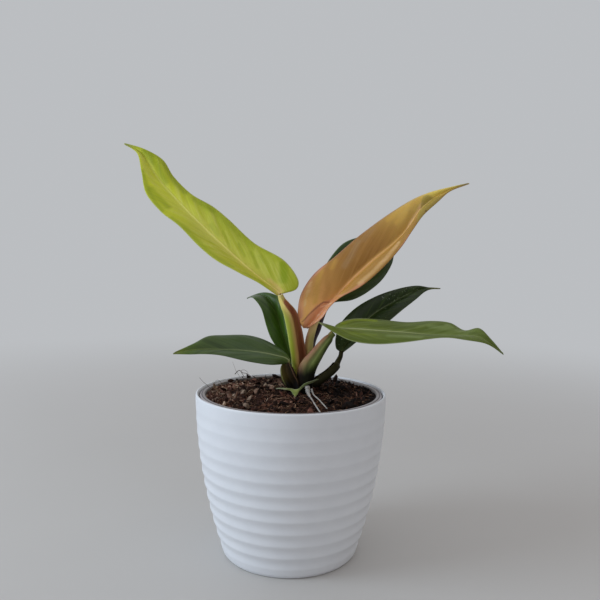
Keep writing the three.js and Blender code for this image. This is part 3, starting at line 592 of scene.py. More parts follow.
# Blades. Stations run from foot to tip, each with a point on the left margin, the midrib and the right one.
# Swell is for the left and the right half, wave is height, count and phase.
BLADES = {
    "lime": {
        "rib_depth": 1.2, "swell": (1.2, 1.5), "wave": (0.7, 3, 0.5), "pleat": 0.35, "fold_pitch": 12,
        "stations": [
            [[-10, 1, 176.5], [-8, 1, 178], [-6, 1, 178]],
            [[-16.5, -1, 181], [-10.5, 3, 179.5], [3, 0, 181.5]],
            [[-25.5, 0, 187], [-15.5, 7, 183], [3.5, 2, 189]],
            [[-38, 3, 193], [-25.5, 12, 190], [-6.5, 11, 201]],
            [[-53.5, 9, 200], [-38.5, 18, 200.5], [-27.5, 21, 212.5]],
            [[-66, 16, 209.5], [-54.5, 24, 214.5], [-46, 29, 229]],
            [[-81, 22, 224.5], [-69, 30, 227.5], [-58.5, 36, 238.5]],
            [[-95.5, 28, 234.5], [-82, 36, 240], [-75, 41, 247.5]],
            [[-107.5, 35, 247.5], [-96.5, 42, 255], [-89, 45, 261]],
            [[-112, 41, 263.5], [-106, 46, 267], [-97.5, 47, 273.5]],
            [[-116.5, 47, 278], [-114, 49, 278], [-111.5, 49, 281.5]],
            [[-127, 51, 285], [-127, 51, 285.5], [-126.5, 51, 286]],
        ],
    },
    "orange": {
        "rib_depth": 1.2, "swell": (3.5, 1.5), "wave": (0.4, 2, 0), "pleat": 0.12, "fold_pitch": 14,
        "stations": [
            [[8, 1, 154.5], [10, 2, 155], [12, 1, 155]],
            [[5.5, 1, 158.5], [13.5, 3, 157.5], [17.5, -1, 159]],
            [[4, 5, 165], [18, 4, 162], [21.5, -2, 163]],
            [[6.5, 11, 178], [23.5, 6, 168.5], [25.5, -2, 169.5]],
            [[15.5, 18, 191.5], [30.5, 8, 175.5], [33, -1, 176]],
            [[30, 23, 203.5], [43, 11, 189], [47.5, 2, 183.5]],
            [[45, 26, 216.5], [57, 13, 202], [61, 4, 195]],
            [[59.5, 28, 227.5], [71, 15, 213.5], [74, 7, 209.5]],
            [[72, 26, 236.5], [80.5, 16, 223.5], [83, 10, 223]],
            [[84.5, 23, 244.5], [88.5, 17, 236], [90.5, 13, 233]],
            [[96, 21, 249.5], [98, 18, 244.5], [101, 15, 242.5]],
            [[108, 20, 252.5], [109, 19, 250.5], [110, 18, 250]],
            [[123.5, 20, 256], [123.5, 20, 256], [123.5, 20, 255.5]],
        ],
    },
    "green": {
        "rib_depth": 1.2, "swell": (1.2, 1.5), "wave": (0.6, 3, 1), "pleat": 0.2, "fold_pitch": 12,
        "stations": [
            [[28.5, -2, 154.5], [29.5, -3, 153], [30, -4, 152]],
            [[31, 3, 157], [32, -4, 154.5], [18, -10, 160]],
            [[37.5, 7, 160], [37, -5, 155], [29.5, -15, 153]],
            [[46, 8, 161], [45, -7, 155], [40, -20, 148.5]],
            [[61, 6, 160], [58, -10, 154.5], [53.5, -25, 148]],
            [[77.5, 1, 159.5], [74.5, -14, 154], [71, -29, 150]],
            [[94, -5, 161.5], [91, -18, 153], [88.5, -31, 152]],
            [[105.5, -11, 160.5], [103.5, -21, 153], [101, -32, 153]],
            [[114, -16, 156], [112.5, -24, 153.5], [110.5, -32, 152.5]],
            [[122.5, -21, 158.5], [122, -26, 153], [121.5, -31, 150.5]],
            [[129, -26, 152], [128.5, -28, 148.5], [128.5, -30, 147.5]],
            [[136, -30, 143], [136, -30, 143], [136, -30, 142.5]],
        ],
    },
    "left": {
        "rib_depth": 1, "swell": (1.2, 1.5), "wave": (0.5, 2, 0), "pleat": 0.15, "fold_pitch": 12,
        "stations": [
            [[-2, -4, 131], [-1.5, -3, 132.5], [-0.5, -2, 133]],
            [[-7, -10, 131], [-4.5, -4, 134.5], [-4.5, 2, 137.5]],
            [[-13, -17, 132], [-9.5, -6, 136], [-10, 4, 141.5]],
            [[-23, -22, 134.5], [-19.5, -9, 138.5], [-19.5, 3, 146]],
            [[-34, -26, 137], [-32, -13, 140.5], [-31, 0, 149]],
            [[-46, -28, 139.5], [-45.5, -17, 141.5], [-44.5, -5, 150]],
            [[-57, -28, 140.5], [-57, -20, 142], [-55.5, -11, 150]],
            [[-66.5, -26, 140], [-66, -22, 141.5], [-64.5, -17, 145.5]],
            [[-76.5, -24, 139.5], [-76.5, -24, 140], [-76, -24, 140.5]],
        ],
    },
    "rear_left": {
        "rib_depth": 1, "swell": (1, 1), "wave": (0.5, 2, 0), "pleat": 0.12, "fold_pitch": 12,
        "stations": [
            [[-1, 8, 128.5], [0.5, 8, 129], [2, 8, 129.5]],
            [[-5, 8, 132.5], [-1, 12, 133.5], [3, 9, 136.5]],
            [[-13.5, 12, 144], [-5, 20, 143.5], [2, 15, 149.5]],
            [[-18, 19, 153.5], [-9, 28, 153.5], [0, 22, 159]],
            [[-22.5, 27, 164.5], [-13, 36, 163.5], [-4.5, 30, 169.5]],
            [[-28.5, 36, 171.5], [-19.5, 44, 172], [-11.5, 39, 174]],
            [[-32, 47, 172], [-27, 51, 173.5], [-21, 48, 175.5]],
            [[-35, 56, 170], [-35, 56, 170.5], [-34.5, 56, 171]],
        ],
    },
    "rear": {
        "rib_depth": 1, "swell": (1.5, 1.5), "wave": (0.5, 2, 0), "pleat": 0.12, "fold_pitch": 12,
        "stations": [
            [[23.5, 20, 170.5], [25, 20, 170.5], [26, 20, 169.5]],
            [[21, 20, 179], [27.5, 22, 174], [32, 18, 171.5]],
            [[22, 28, 191.5], [34.5, 28, 180], [43, 21, 173]],
            [[26.5, 37, 201], [43.5, 36, 189.5], [54.5, 28, 178]],
            [[36.5, 45, 212.5], [53.5, 43, 199.5], [65.5, 35, 186.5]],
            [[48, 50, 217.5], [63, 49, 208.5], [73, 41, 197.5]],
            [[61, 54, 220], [72, 54, 216], [76, 48, 206.5]],
            [[72, 58, 224], [78.5, 58, 222.5], [79, 55, 216.5]],
            [[83, 60, 227], [83, 60, 227], [83.5, 60, 226.5]],
        ],
    },
    "rear_right": {
        "rib_depth": 1, "swell": (1, 1), "wave": (0.4, 2, 0), "pleat": 0.12, "fold_pitch": 12,
        "stations": [
            [[34.5, 20, 135.5], [35.5, 20, 135], [36.5, 20, 134.5]],
            [[31.5, 20, 138.5], [37.5, 22, 138], [41.5, 18, 139]],
            [[31.5, 22, 146.5], [42, 25, 144], [48.5, 18, 145]],
            [[36, 26, 156.5], [49.5, 29, 153], [58, 20, 150]],
            [[47.5, 32, 167], [61.5, 35, 162.5], [69.5, 26, 156.5]],
            [[63, 38, 175], [75, 41, 170], [81, 33, 165]],
            [[79.5, 44, 180], [87.5, 46, 176], [92, 41, 172.5]],
            [[93.5, 49, 182], [97, 50, 179.5], [99, 48, 177]],
            [[104, 53, 180.5], [104.5, 53, 180], [105, 53, 179]],
            [[113, 56, 180], [113, 56, 179.5], [113, 56, 179.5]],
        ],
    },
}

# Where a blade's colours lie. A zone is an oval (at, size) in u along the leaf and v across it, or lies
# beyond soft lines (share of u, share of v, from, to). Marks lie over the midrib's glow, zones under it.
DARK_LOOK = {
    "along": [(0, "#42541c"), (0.5, "#344a12"), (0.9, "#364a14"), (1, "#6a6c3a")],
    "patch_colour": "#20340a", "patch": 0.45, "streak_colour": "#4a6028", "streak": 0.3,
    "line_colour": "#50662c", "line": 0.2, "fine": 0.08,
    "rib": [(0, "#9aa66a"), (0.6, "#71804a"), (1, "#565f30")], "rib_width": 0.75, "rib_glow": (0.1, 0.1),
    "rib_share": 0.8, "margin_colour": "#6c7848", "margin": 0.35, "under_colour": "#56683c", "under": 0.55,
    "roughness": 0.36, "soft": 0.04, "specular": 0.3, "relief": 0.3,
}
LOOKS = {
    "lime": {
        "along": [(0, "#c6bb4c"), (0.1, "#bab834"), (0.5, "#c4c43a"), (0.72, "#dade30"), (0.9, "#d8dc38"),
                  (0.95, "#c4c83a"), (0.975, "#a3a560"), (1, "#8a8a70")],
        "patch_colour": "#a0a420", "patch": 0.24, "streak_colour": "#cfcb5c", "streak": 0.25,
        "line_colour": "#d6d270", "line": 0.3, "dim": 0.18, "fine": 0.12,
        "edge": 0.35, "edge_colour": "#a8b02a",
        # Of the paint, dark also holds painted shade near the tip
        "paint": {"green": "#a0aa24", "dark": "#8c9c04", "pale": "#d2d060", "warm": "#dcb46c"},
        "rib": [(0, "#e4bc80"), (0.08, "#f0d684"), (0.2, "#fae886"), (0.6, "#f2ee80"), (0.85, "#c8ca50"),
                (1, "#a8aa40")],
        "rib_width": 1.3, "rib_glow": (0.4, 0.2), "rib_reach": 7.0,
        "margin_colour": "#d2d294", "margin": 0.4, "under_colour": "#c2c472", "under": 0.5, "roughness": 0.48,
        "specular": 0.22,
        "zones": [{"lines": [(-1, 0, -0.3, -0.16), (0, 1, 0.3, 0.6)], "share": 0.65, "colour": "#969008"},
                  {"lines": [(0, 1, 0.15, 0.75)], "share": 0.4, "colour": "#9aae2a"}],
    },
    "orange": {
        "along": [(0, "#c07c56"), (0.1, "#c48a4c"), (0.3, "#c4893c"), (0.6, "#c2963e"), (0.76, "#cca850"),
                  (0.86, "#ecd05c"), (0.95, "#e2ca62"), (0.98, "#a89a6c"), (1, "#8c8478")],
        "patch_colour": "#a4742c", "patch": 0.2, "streak_colour": "#cc964a", "streak": 0.16,
        "line_colour": "#d09c58", "line": 0.08, "dim": 0.06, "fine": 0.08,
        # Painted light: fold is shadow along the base crease, grey a sky reflection; pink and pale add
        # highlights too
        "lines": {"fold": "#8c5230", "gleam": "#f0c8a4"},
        "paint": {"brown": "#a06c20", "gold": "#cfa03a", "grey": "#a88c68", "pink": "#dc9674",
                  "pale": "#e8bc80"},
        "rib": [(0, "#e4ac88"), (0.24, "#e8ac84"), (0.36, "#dc9c64"), (0.6, "#dca862"), (0.8, "#e6c27c"),
                (1, "#c4b260")],
        "rib_width": 1.3, "rib_glow": (0.1, 0.3), "rib_reach": 4.0,
        "margin_colour": "#b06c50", "margin": 0.6, "under_colour": "#cc9260", "under": 0.5, "roughness": 0.34,
        "specular": 0.45, "relief": 0.12,
        "zones": [
            {"lines": [(1, 0, 0.4, 0.16)], "share": 0.85, "colour": "#ffbe70"},
            {"lines": [(1, 0, 0.28, 0.5), (0, 1, 0.02, 0.3)], "share": 0.8, "colour": "#a4762e"},
            {"lines": [(1, 0, 0.3, 0.45), (-1, 0, -0.72, -0.5), (0, 1, 0, -0.12), (0, -1, -1, -0.5)],
             "share": 0.85, "colour": "#8c5a10"},
            {"at": (0.9, 0.2), "size": (0.06, 0.9), "soft": 0.3, "ragged": 0.3, "share": 0.6,
             "colour": "#dcc058"},
        ],
        "marks": [
            # The red base below the fold: partly its own red, partly painted shade under the overhanging lobe
            {"lines": [(-2.8, 1, -0.97, -0.9), (-1, 0, -0.34, -0.3)], "share": 0.8, "colour": "#d28860"},
            # Painted shade on the turned facet near the tip
            {"lines": [(1, 0.056, 0.752, 0.764), (-1, 0.032, -0.845, -0.83), (0, 1, -0.7, -0.6)],
             "share": 0.8, "colour": "#a8923e"},
            {"at": (0.77, 0.87), "size": (0.006, 0.12), "share": 0.8, "colour": "#5a3c28"},
        ],
    },
    "green": {
        "along": [(0, "#7a8054"), (0.1, "#788820"), (0.2, "#616d14"), (0.5, "#5a6820"), (0.68, "#606e2a"),
                  (0.76, "#6c7a3c"), (0.86, "#626f26"), (0.95, "#5c682a"), (1, "#6a6c50")],
        "patch_colour": "#4a5a1e", "patch": 0.35, "streak_colour": "#7c8a4c", "streak": 0.3,
        "line_colour": "#8a965a", "line": 0.2, "fine": 0.1, "edge": 0.3, "edge_colour": "#566420",
        "paint": {"dark": "#485614", "pale": "#85935a", "yellow": "#88980e", "grey": "#8a8c78"},
        "rib": [(0, "#a5a883"), (0.3, "#a8ae78"), (1, "#84904e")], "rib_width": 0.9, "rib_glow": (0.2, 0.15),
        "margin_colour": "#a6ab7c", "margin": 0.5, "under_colour": "#8a9464", "under": 0.5,
        "specular": 0.22, "roughness": 0.46,
    },
    "left": {**DARK_LOOK, "along": [(0, "#44582a"), (0.5, "#465a34"), (0.78, "#465828"), (0.88, "#465a14"),
                                    (0.95, "#5e6c22"), (1, "#6c7038")],
             "rib": [(0, "#a6ae80"), (0.6, "#8c9666"), (0.85, "#98984e"), (1, "#8b8a50")], "soft": 0.06},
    "rear_left": {**DARK_LOOK, "specular": 0.2,
                  "along": [(0, "#304a12"), (0.4, "#3c5c10"), (0.7, "#40581c"), (1, "#5c6c50")]},
    "rear": {**DARK_LOOK, "along": [(0, "#3c4c1c"), (0.4, "#30461a"), (1, "#2a3a16")]},
    "rear_right": {**DARK_LOOK, "speck": 0.7, "speck_colour": "#8c9a80",
                   "along": [(0, "#3a4a22"), (0.5, "#22320f"), (0.84, "#28360f"), (0.92, "#6c6c34"),
                             (1, "#8a8668")]},
}

# Strokes of colour on a blade, by kind: share, radius in millimetres, and a path in u and v
STROKES = {
    "lime": {
        "dark": [
            # The first is painted shade, in the valley above the midrib near the tip
            (0.6, 3, [(0.895, 0.33), (0.855, 0.45), (0.805, 0.38), (0.754, 0.3), (0.722, 0.23)]),
            (0.55, 3.2, [(0.729, -0.72), (0.699, -0.7), (0.664, -0.65), (0.637, -0.62)]),
            (0.45, 2.6, [(0.586, 0.78), (0.556, 0.75), (0.526, 0.78)]),
            (0.36, 1.6, [(0.499, 0.23), (0.479, 0.2), (0.454, 0.15)]),
            (0.3, 1.2, [(0.494, 0.35), (0.469, 0.3), (0.451, 0.2)]),
            (0.39, 1.1, [(0.449, 0.38), (0.429, 0.3), (0.406, 0.12)]),
            (0.36, 1.3, [(0.391, 0.48), (0.376, 0.4), (0.351, 0.28)]),
            (0.48, 1.7, [(0.348, 0.55), (0.328, 0.43), (0.296, 0.23)]),
            (0.36, 1.3, [(0.276, 0.5), (0.243, 0.35), (0.19, 0.23)]),
            (0.95, 3.2, [(0.251, 0.88), (0.218, 0.7), (0.18, 0.5)]),
            (0.3, 2, [(0.316, 0.65), (0.291, 0.55)]),
        ],
        "green": [
            (0.8, 2.2, [(0.817, -0.97), (0.774, -0.93), (0.737, -0.88), (0.692, -0.93), (0.634, -0.95)]),
            (0.8, 3, [(0.895, 1), (0.835, 1), (0.759, 0.9), (0.702, 0.8), (0.652, 0.78)]),
            (0.75, 3.4, [(0.612, 0.88), (0.554, 0.85), (0.489, 0.85), (0.439, 0.85), (0.398, 0.85),
                         (0.363, 0.88)]),
            (0.7, 2.4, [(0.333, 0.9), (0.301, 0.95), (0.256, 0.93)]),
            (0.7, 2.4, [(0.584, -0.95), (0.524, -0.93), (0.456, -0.93), (0.373, -0.9), (0.308, -0.85)]),
            (0.5, 2, [(0.253, -0.75), (0.148, -0.88)]),
        ],
        "pale": [
            (0.6, 2, [(0.93, -0.1), (0.891, -0.5), (0.852, -0.4)]),
            (0.38, 2.6, [(0.852, -0.6), (0.802, -0.47), (0.732, -0.38), (0.672, -0.4), (0.619, -0.3)]),
            (0.3, 2.4, [(0.596, -0.32), (0.521, -0.38), (0.469, -0.32)]),
            (0.42, 1, [(0.444, 0.48), (0.424, 0.38), (0.398, 0.18)]),
            (0.42, 1, [(0.343, 0.68), (0.313, 0.45), (0.261, 0.2)]),
            (0.3, 1.5, [(0.268, 0.75), (0.228, 0.55), (0.153, 0.3)]),
            (0.4, 0.8, [(0.436, -0.65), (0.388, -0.5), (0.343, -0.07), (0.313, 0.07)]),
            (0.4, 0.9, [(0.459, -0.27), (0.406, -0.12), (0.343, 0.03)]),
            (0.35, 0.9, [(0.519, -0.4), (0.451, -0.32), (0.391, -0.2)]),
            (0.3, 1, [(0.609, 0.35), (0.556, 0.28), (0.514, 0.15)]),
            (0.25, 0.9, [(0.393, 0.73), (0.363, 0.55), (0.321, 0.33)]),
        ],
        "warm": [
            (0.59, 2.2, [(0.213, 0.15), (0.163, 0.18), (0.083, 0.15)]),
        ],
    },
    "orange": {
        # A line of painted shadow along the crease at the base, under the overhanging lobe
        "fold": [
            (0.8, 0.6, [(0.32, 0.2), (0.301, 0.08), (0.264, -0.2), (0.218, -0.27), (0.155, -0.5),
                        (0.09, -0.8)]),
        ],
        "gleam": [
            (0.9, 0.55, [(0.276, 0.8), (0.235, 0.35), (0.184, -0.07), (0.11, 0.15), (0.045, 0.5)]),
            (0.5, 0.5, [(0.3, 0.3), (0.264, -0.05), (0.23, -0.15)]),
        ],
        "pink": [
            # The first is partly the margin's pink, partly painted highlight along the left margin near the
            # base
            (0.75, 2.6, [(0.135, -0.93), (0.211, -0.95), (0.263, -1), (0.316, -1), (0.366, -1)]),
            (0.7, 1.6, [(0.316, 0.03), (0.343, 0.95), (0.386, 0.9), (0.426, 0.85)]),
            (0.5, 1.2, [(0.576, 0.95), (0.604, 1), (0.637, 1)]),
        ],
        "gold": [
            (0.56, 2.6, [(0.353, -0.9), (0.321, -0.72), (0.283, -0.57), (0.241, -0.42)]),
            (0.32, 3, [(0.128, -0.57), (0.195, -0.65), (0.253, -0.7)]),
            (0.42, 2.5, [(0.386, -0.75), (0.404, -0.85)]),
            (0.52, 3, [(0.627, -0.8), (0.687, -0.82), (0.744, -0.65), (0.784, -0.5)]),
            (0.42, 2.4, [(0.644, -0.47), (0.697, -0.5)]),
        ],
        "brown": [
            (0.34, 2.6, [(0.371, -0.78), (0.348, -0.52), (0.323, -0.32), (0.291, -0.22)]),
            (0.27, 4, [(0.409, -0.32), (0.449, -0.35), (0.489, -0.38)]),
            (0.23, 3.2, [(0.521, -0.35), (0.561, -0.4), (0.617, -0.42)]),
            (0.23, 3, [(0.624, -0.17), (0.667, -0.22), (0.717, -0.27)]),
        ],
        # Painted reflection: a grey sheen of the sky over the left half
        "grey": [
            (0.27, 3, [(0.414, -0.47), (0.451, -0.57), (0.494, -0.78)]),
            (0.16, 3, [(0.509, -0.75), (0.559, -0.88)]),
        ],
        "pale": [
            (0.9, 1.6, [(0.774, -0.25), (0.734, -0.07), (0.687, -0.05), (0.632, 0.12)]),
            (0.6, 2, [(0.591, 0.53), (0.531, 0.68), (0.471, 0.73), (0.414, 0.75)]),
            # Painted highlights: short glints by the left margin near the base
            (0.9, 0.8, [(0.301, -0.93), (0.281, -0.9)]),
            (0.9, 0.8, [(0.268, -0.88), (0.243, -0.82)]),
            (0.9, 0.8, [(0.228, -0.8), (0.203, -0.75)]),
            (0.7, 0.7, [(0.286, -0.85), (0.261, -0.8)]),
        ],
    },
    "green": {
        "yellow": [
            (0.85, 2.6, [(0.155, -0.65), (0.233, -0.82), (0.293, -0.82), (0.341, -0.82)]),
            (0.2, 2, [(0.253, 0.48), (0.303, 0.43), (0.356, 0.45)]),
        ],
        "dark": [
            (0.42, 3, [(0.336, -0.3), (0.411, -0.35), (0.481, -0.38)]),
            (0.42, 2.4, [(0.258, 0.88), (0.331, 0.88), (0.404, 0.9)]),
            (0.35, 2, [(0.441, 0.83), (0.491, 0.85)]),
            (0.42, 2.2, [(0.757, -0.25), (0.817, -0.22), (0.882, -0.3)]),
        ],
        "pale": [
            (0.35, 2.4, [(0.541, -0.52), (0.596, -0.5), (0.649, -0.52)]),
            (0.42, 2.2, [(0.406, 0.48), (0.459, 0.6), (0.511, 0.73)]),
            (0.35, 2, [(0.617, -0.72), (0.649, -0.57), (0.692, -0.42)]),
        ],
        "grey": [
            (0.9, 2, [(0.09, 0.88), (0.065, 0.45), (0.018, -0.3)]),
        ],
    },
}


# Petioles, with their sheaths

PETIOLE_STEPS = 72
OUTER_COLUMNS = 28
INNER_COLUMNS = 22
SHEATH_ANGLE = math.radians(130)
SHEATH_MARGIN = 0.7


def make_petiole(name, spec, material):
    """Lofted from elliptical sections that open into a channel between the sheath's two margins."""
    places = np.linspace(0, 1, PETIOLE_STEPS + 1)
    path = curve([s[:3] for s in spec["stations"]], places)
    half_side, half_open, openness = curve([s[3:] for s in spec["stations"]], places).T
    openness = np.clip(openness, 0, 1)
    forward = tangents(path)
    side = unit(np.cross(forward, spec["open"]))
    facing = unit(np.cross(side, forward))

    def place(angle, inset):
        return (path - facing * ((half_open - inset) * math.cos(angle))[:, None]
                + side * ((half_side - inset) * math.sin(angle))[:, None])

    outer = np.linspace(-1, 1, OUTER_COLUMNS + 1)
    inner = np.linspace(1, -1, INNER_COLUMNS + 1)[1:-1]
    columns = [place(SHEATH_ANGLE * share, 0) for share in outer]
    for share in inner:
        closed = place(math.pi - (math.pi - SHEATH_ANGLE) * share, 0)
        wall = SHEATH_MARGIN + (half_open - SHEATH_MARGIN) * math.cos(SHEATH_ANGLE * share / 2) ** 6
        channel = place(SHEATH_ANGLE * share, np.minimum(wall, 0.9 * half_side))
        columns.append(closed * (1 - openness[:, None]) + channel * openness[:, None])
    rings = np.stack(columns, axis=1)
    form = skin(rings, [rings[0].mean(0), rings[-1].mean(0)], flip=True)
    around = np.concatenate([outer, inner])
    inside = np.repeat([0, 1], [len(outer), len(inner)])
    attributes = {
        "stalk_u": np.append(np.repeat(places, len(around)), [0, 1]),
        "stalk_around": np.append(np.tile(around, len(places)), [0, 0]),
        "stalk_inside": np.append(np.outer(openness, inside), [0, 0]),
    }
    add_piece(name + "_stalk", form, material, [name + "_petiole"], attributes)


def petiole_surface(name, look):
    """A stalk's skin: colours round it, its inside, a dark foot that is partly painted shade, and fine
    streaks along it.
    """
    s = Surface(name, look.get("specular", 0.3))
    u = s.attribute("stalk_u")
    streaks = s.noise(260, 3, (1, 1, 0.12))
    around = s.scaled(s.attribute("stalk_around"), 0.5, 0.5)
    around = s.stirred(around, s.noise(110, 2, (1, 1, 0.3)), 0.06)
    colour = s.ramp(around, look["around"])
    inside = s.ramp(around, look["inside"])
    if "crest" in look:
        toward_top = s.rise(u, 0.6, 0.85)
        colour = s.mix(toward_top, colour, s.ramp(around, look["crest"]))
        inside = s.mix(toward_top, inside, s.ramp(around, look["throat"]))
    colour = s.mix(s.rise(s.attribute("stalk_inside"), 0.3, 0.8), colour, inside)
    for low, high, share, code in look.get("along", ()):
        colour = s.tint(colour, code, s.rise(u, low, high), share)
    colour = s.tint(colour, look["streak"], s.rise(streaks, 0.45, 0.7), look.get("streaks", 0.25))
    colour = s.tint(colour, "#2b2412", s.rise(streaks, 0.5, 0.3), 0.2)
    # Darkens the foot below a height: partly its own dark colour, partly painted shade at the crown
    height = s.math("ADD", s.z, s.times(streaks, 0.006))
    dark_below, clear_above = look["foot"]
    colour = s.tint(colour, "#0c0806", s.rise(height, clear_above * MM, dark_below * MM), 0.97)
    s.bump(streaks, 0.2, 0.0003)
    s.bump(s.noise(800, 2), 0.15, 0.0001)
    s.soften(0.06, (0.8, 0.7, 0.3), 0.002)
    return s.finish(colour, s.scaled(streaks, 0.15, look.get("roughness", 0.42)))


# Petioles. Stations run from crown to blade: place, half width, half depth, and how open the sheath is.
PETIOLES = {
    "lime": {
        "open": [0.77, -0.64, 0.1],
        "stations": [
            [5, 2, 107, 4.5, 5, 0],
            [5.5, 2, 116, 5, 5.5, 0.6],
            [6, 1.5, 125, 5, 5.8, 1],
            [5, 1, 136, 4.8, 5.8, 1],
            [3.6, 0.5, 144.5, 4.6, 6, 1],
            [2.3, 0.5, 152, 4.4, 6, 1],
            [-0.5, 1, 163, 3.9, 5.6, 1],
            [-4.2, 1, 169.5, 3.2, 3.8, 1],
            [-6.6, 1, 173.5, 2.4, 2.5, 0.5],
            [-8, 1.2, 177.2, 1.9, 1.9, 0],
        ],
    },
    "green": {
        "open": [-0.75, 0.3, 0.4],
        "stations": [
            [9, -3, 107, 4.5, 5, 0],
            [9, -5, 117, 4.8, 6.2, 0.6],
            [10.5, -6, 128.3, 4.8, 6.8, 1],
            [16.9, -6.4, 138.3, 4.5, 5.1, 1],
            [22, -6, 145.2, 3.6, 4, 1],
            [24.8, -5.4, 148.2, 3, 3.4, 0.9],
            [26.4, -4.8, 150, 2.3, 2.4, 0.1],
            [28.2, -4, 151.8, 2.1, 2.2, 0],
        ],
    },
    "left": {
        "open": [-0.3, -0.85, 0.4],
        "stations": [
            [3, -5.5, 107, 4, 3.5, 0],
            [2, -7.2, 115.5, 4.6, 3.8, 0.8],
            [-0.9, -7.4, 121, 5.2, 3.5, 1],
            [-2.7, -6.6, 126, 4.8, 3, 1],
            [-3.3, -5.4, 129, 3.8, 2.4, 0.9],
            [-2.4, -3.8, 131.2, 1.6, 1.5, 0.2],
            [-1.5, -3.2, 132.2, 1.3, 1.3, 0],
        ],
    },
    "rear_right": {
        "open": [-0.6, 0, 0.8],
        "stations": [
            [12, 9, 107, 3.5, 3.5, 0],
            [17.5, 10, 115.3, 4, 4, 0.6],
            [25.7, 13, 121.2, 3.7, 3.7, 1],
            [30.2, 15.2, 125, 3.6, 3.6, 0.9],
            [31.8, 16.3, 127, 3.2, 3.4, 0.8],
            [32.6, 16.9, 128.1, 2.2, 2.2, 0.1],
            [34.9, 18.7, 132.3, 1.7, 1.7, 0],
            [35.5, 19.8, 136, 1.5, 1.5, 0],
        ],
    },
    "orange": {
        "open": [-0.3, -0.9, 0.2],
        "stations": [
            [10, 9, 107, 3.2, 3, 0],
            [11, 8, 120, 3.4, 3, 0],
            [11.8, 6.5, 136, 3.2, 2.8, 0],
            [12.3, 6.5, 144.5, 3, 2.6, 0],
            [13.5, 6.5, 150, 2.8, 2.4, 0],
            [15.5, 7, 156.5, 2.6, 2.2, 0],
            [18, 6.5, 161, 2, 1.6, 0],
            [20, 5, 163.5, 1.4, 1.2, 0],
        ],
    },
    "rear": {
        "open": [-0.5, -0.5, 0.7],
        "stations": [
            [7, 14, 107, 3, 3, 0],
            [10, 14, 122, 3.2, 3.2, 0],
            [14, 15, 143, 3, 3, 0],
            [17.6, 16.5, 152, 2.9, 2.9, 0],
            [20.2, 18, 160, 2.7, 2.7, 0],
            [24, 20, 169, 2.3, 2.3, 0],
            [26, 20.5, 172, 2, 2, 0],
        ],
    },
    "rear_left": {
        "open": [-0.5, 0, 0.8],
        "stations": [
            [1, 11, 107, 3, 3, 0],
            [0, 11, 118, 2.8, 2.8, 0],
            [0.3, 8.5, 128.2, 1.8, 1.8, 0],
        ],
    },
}

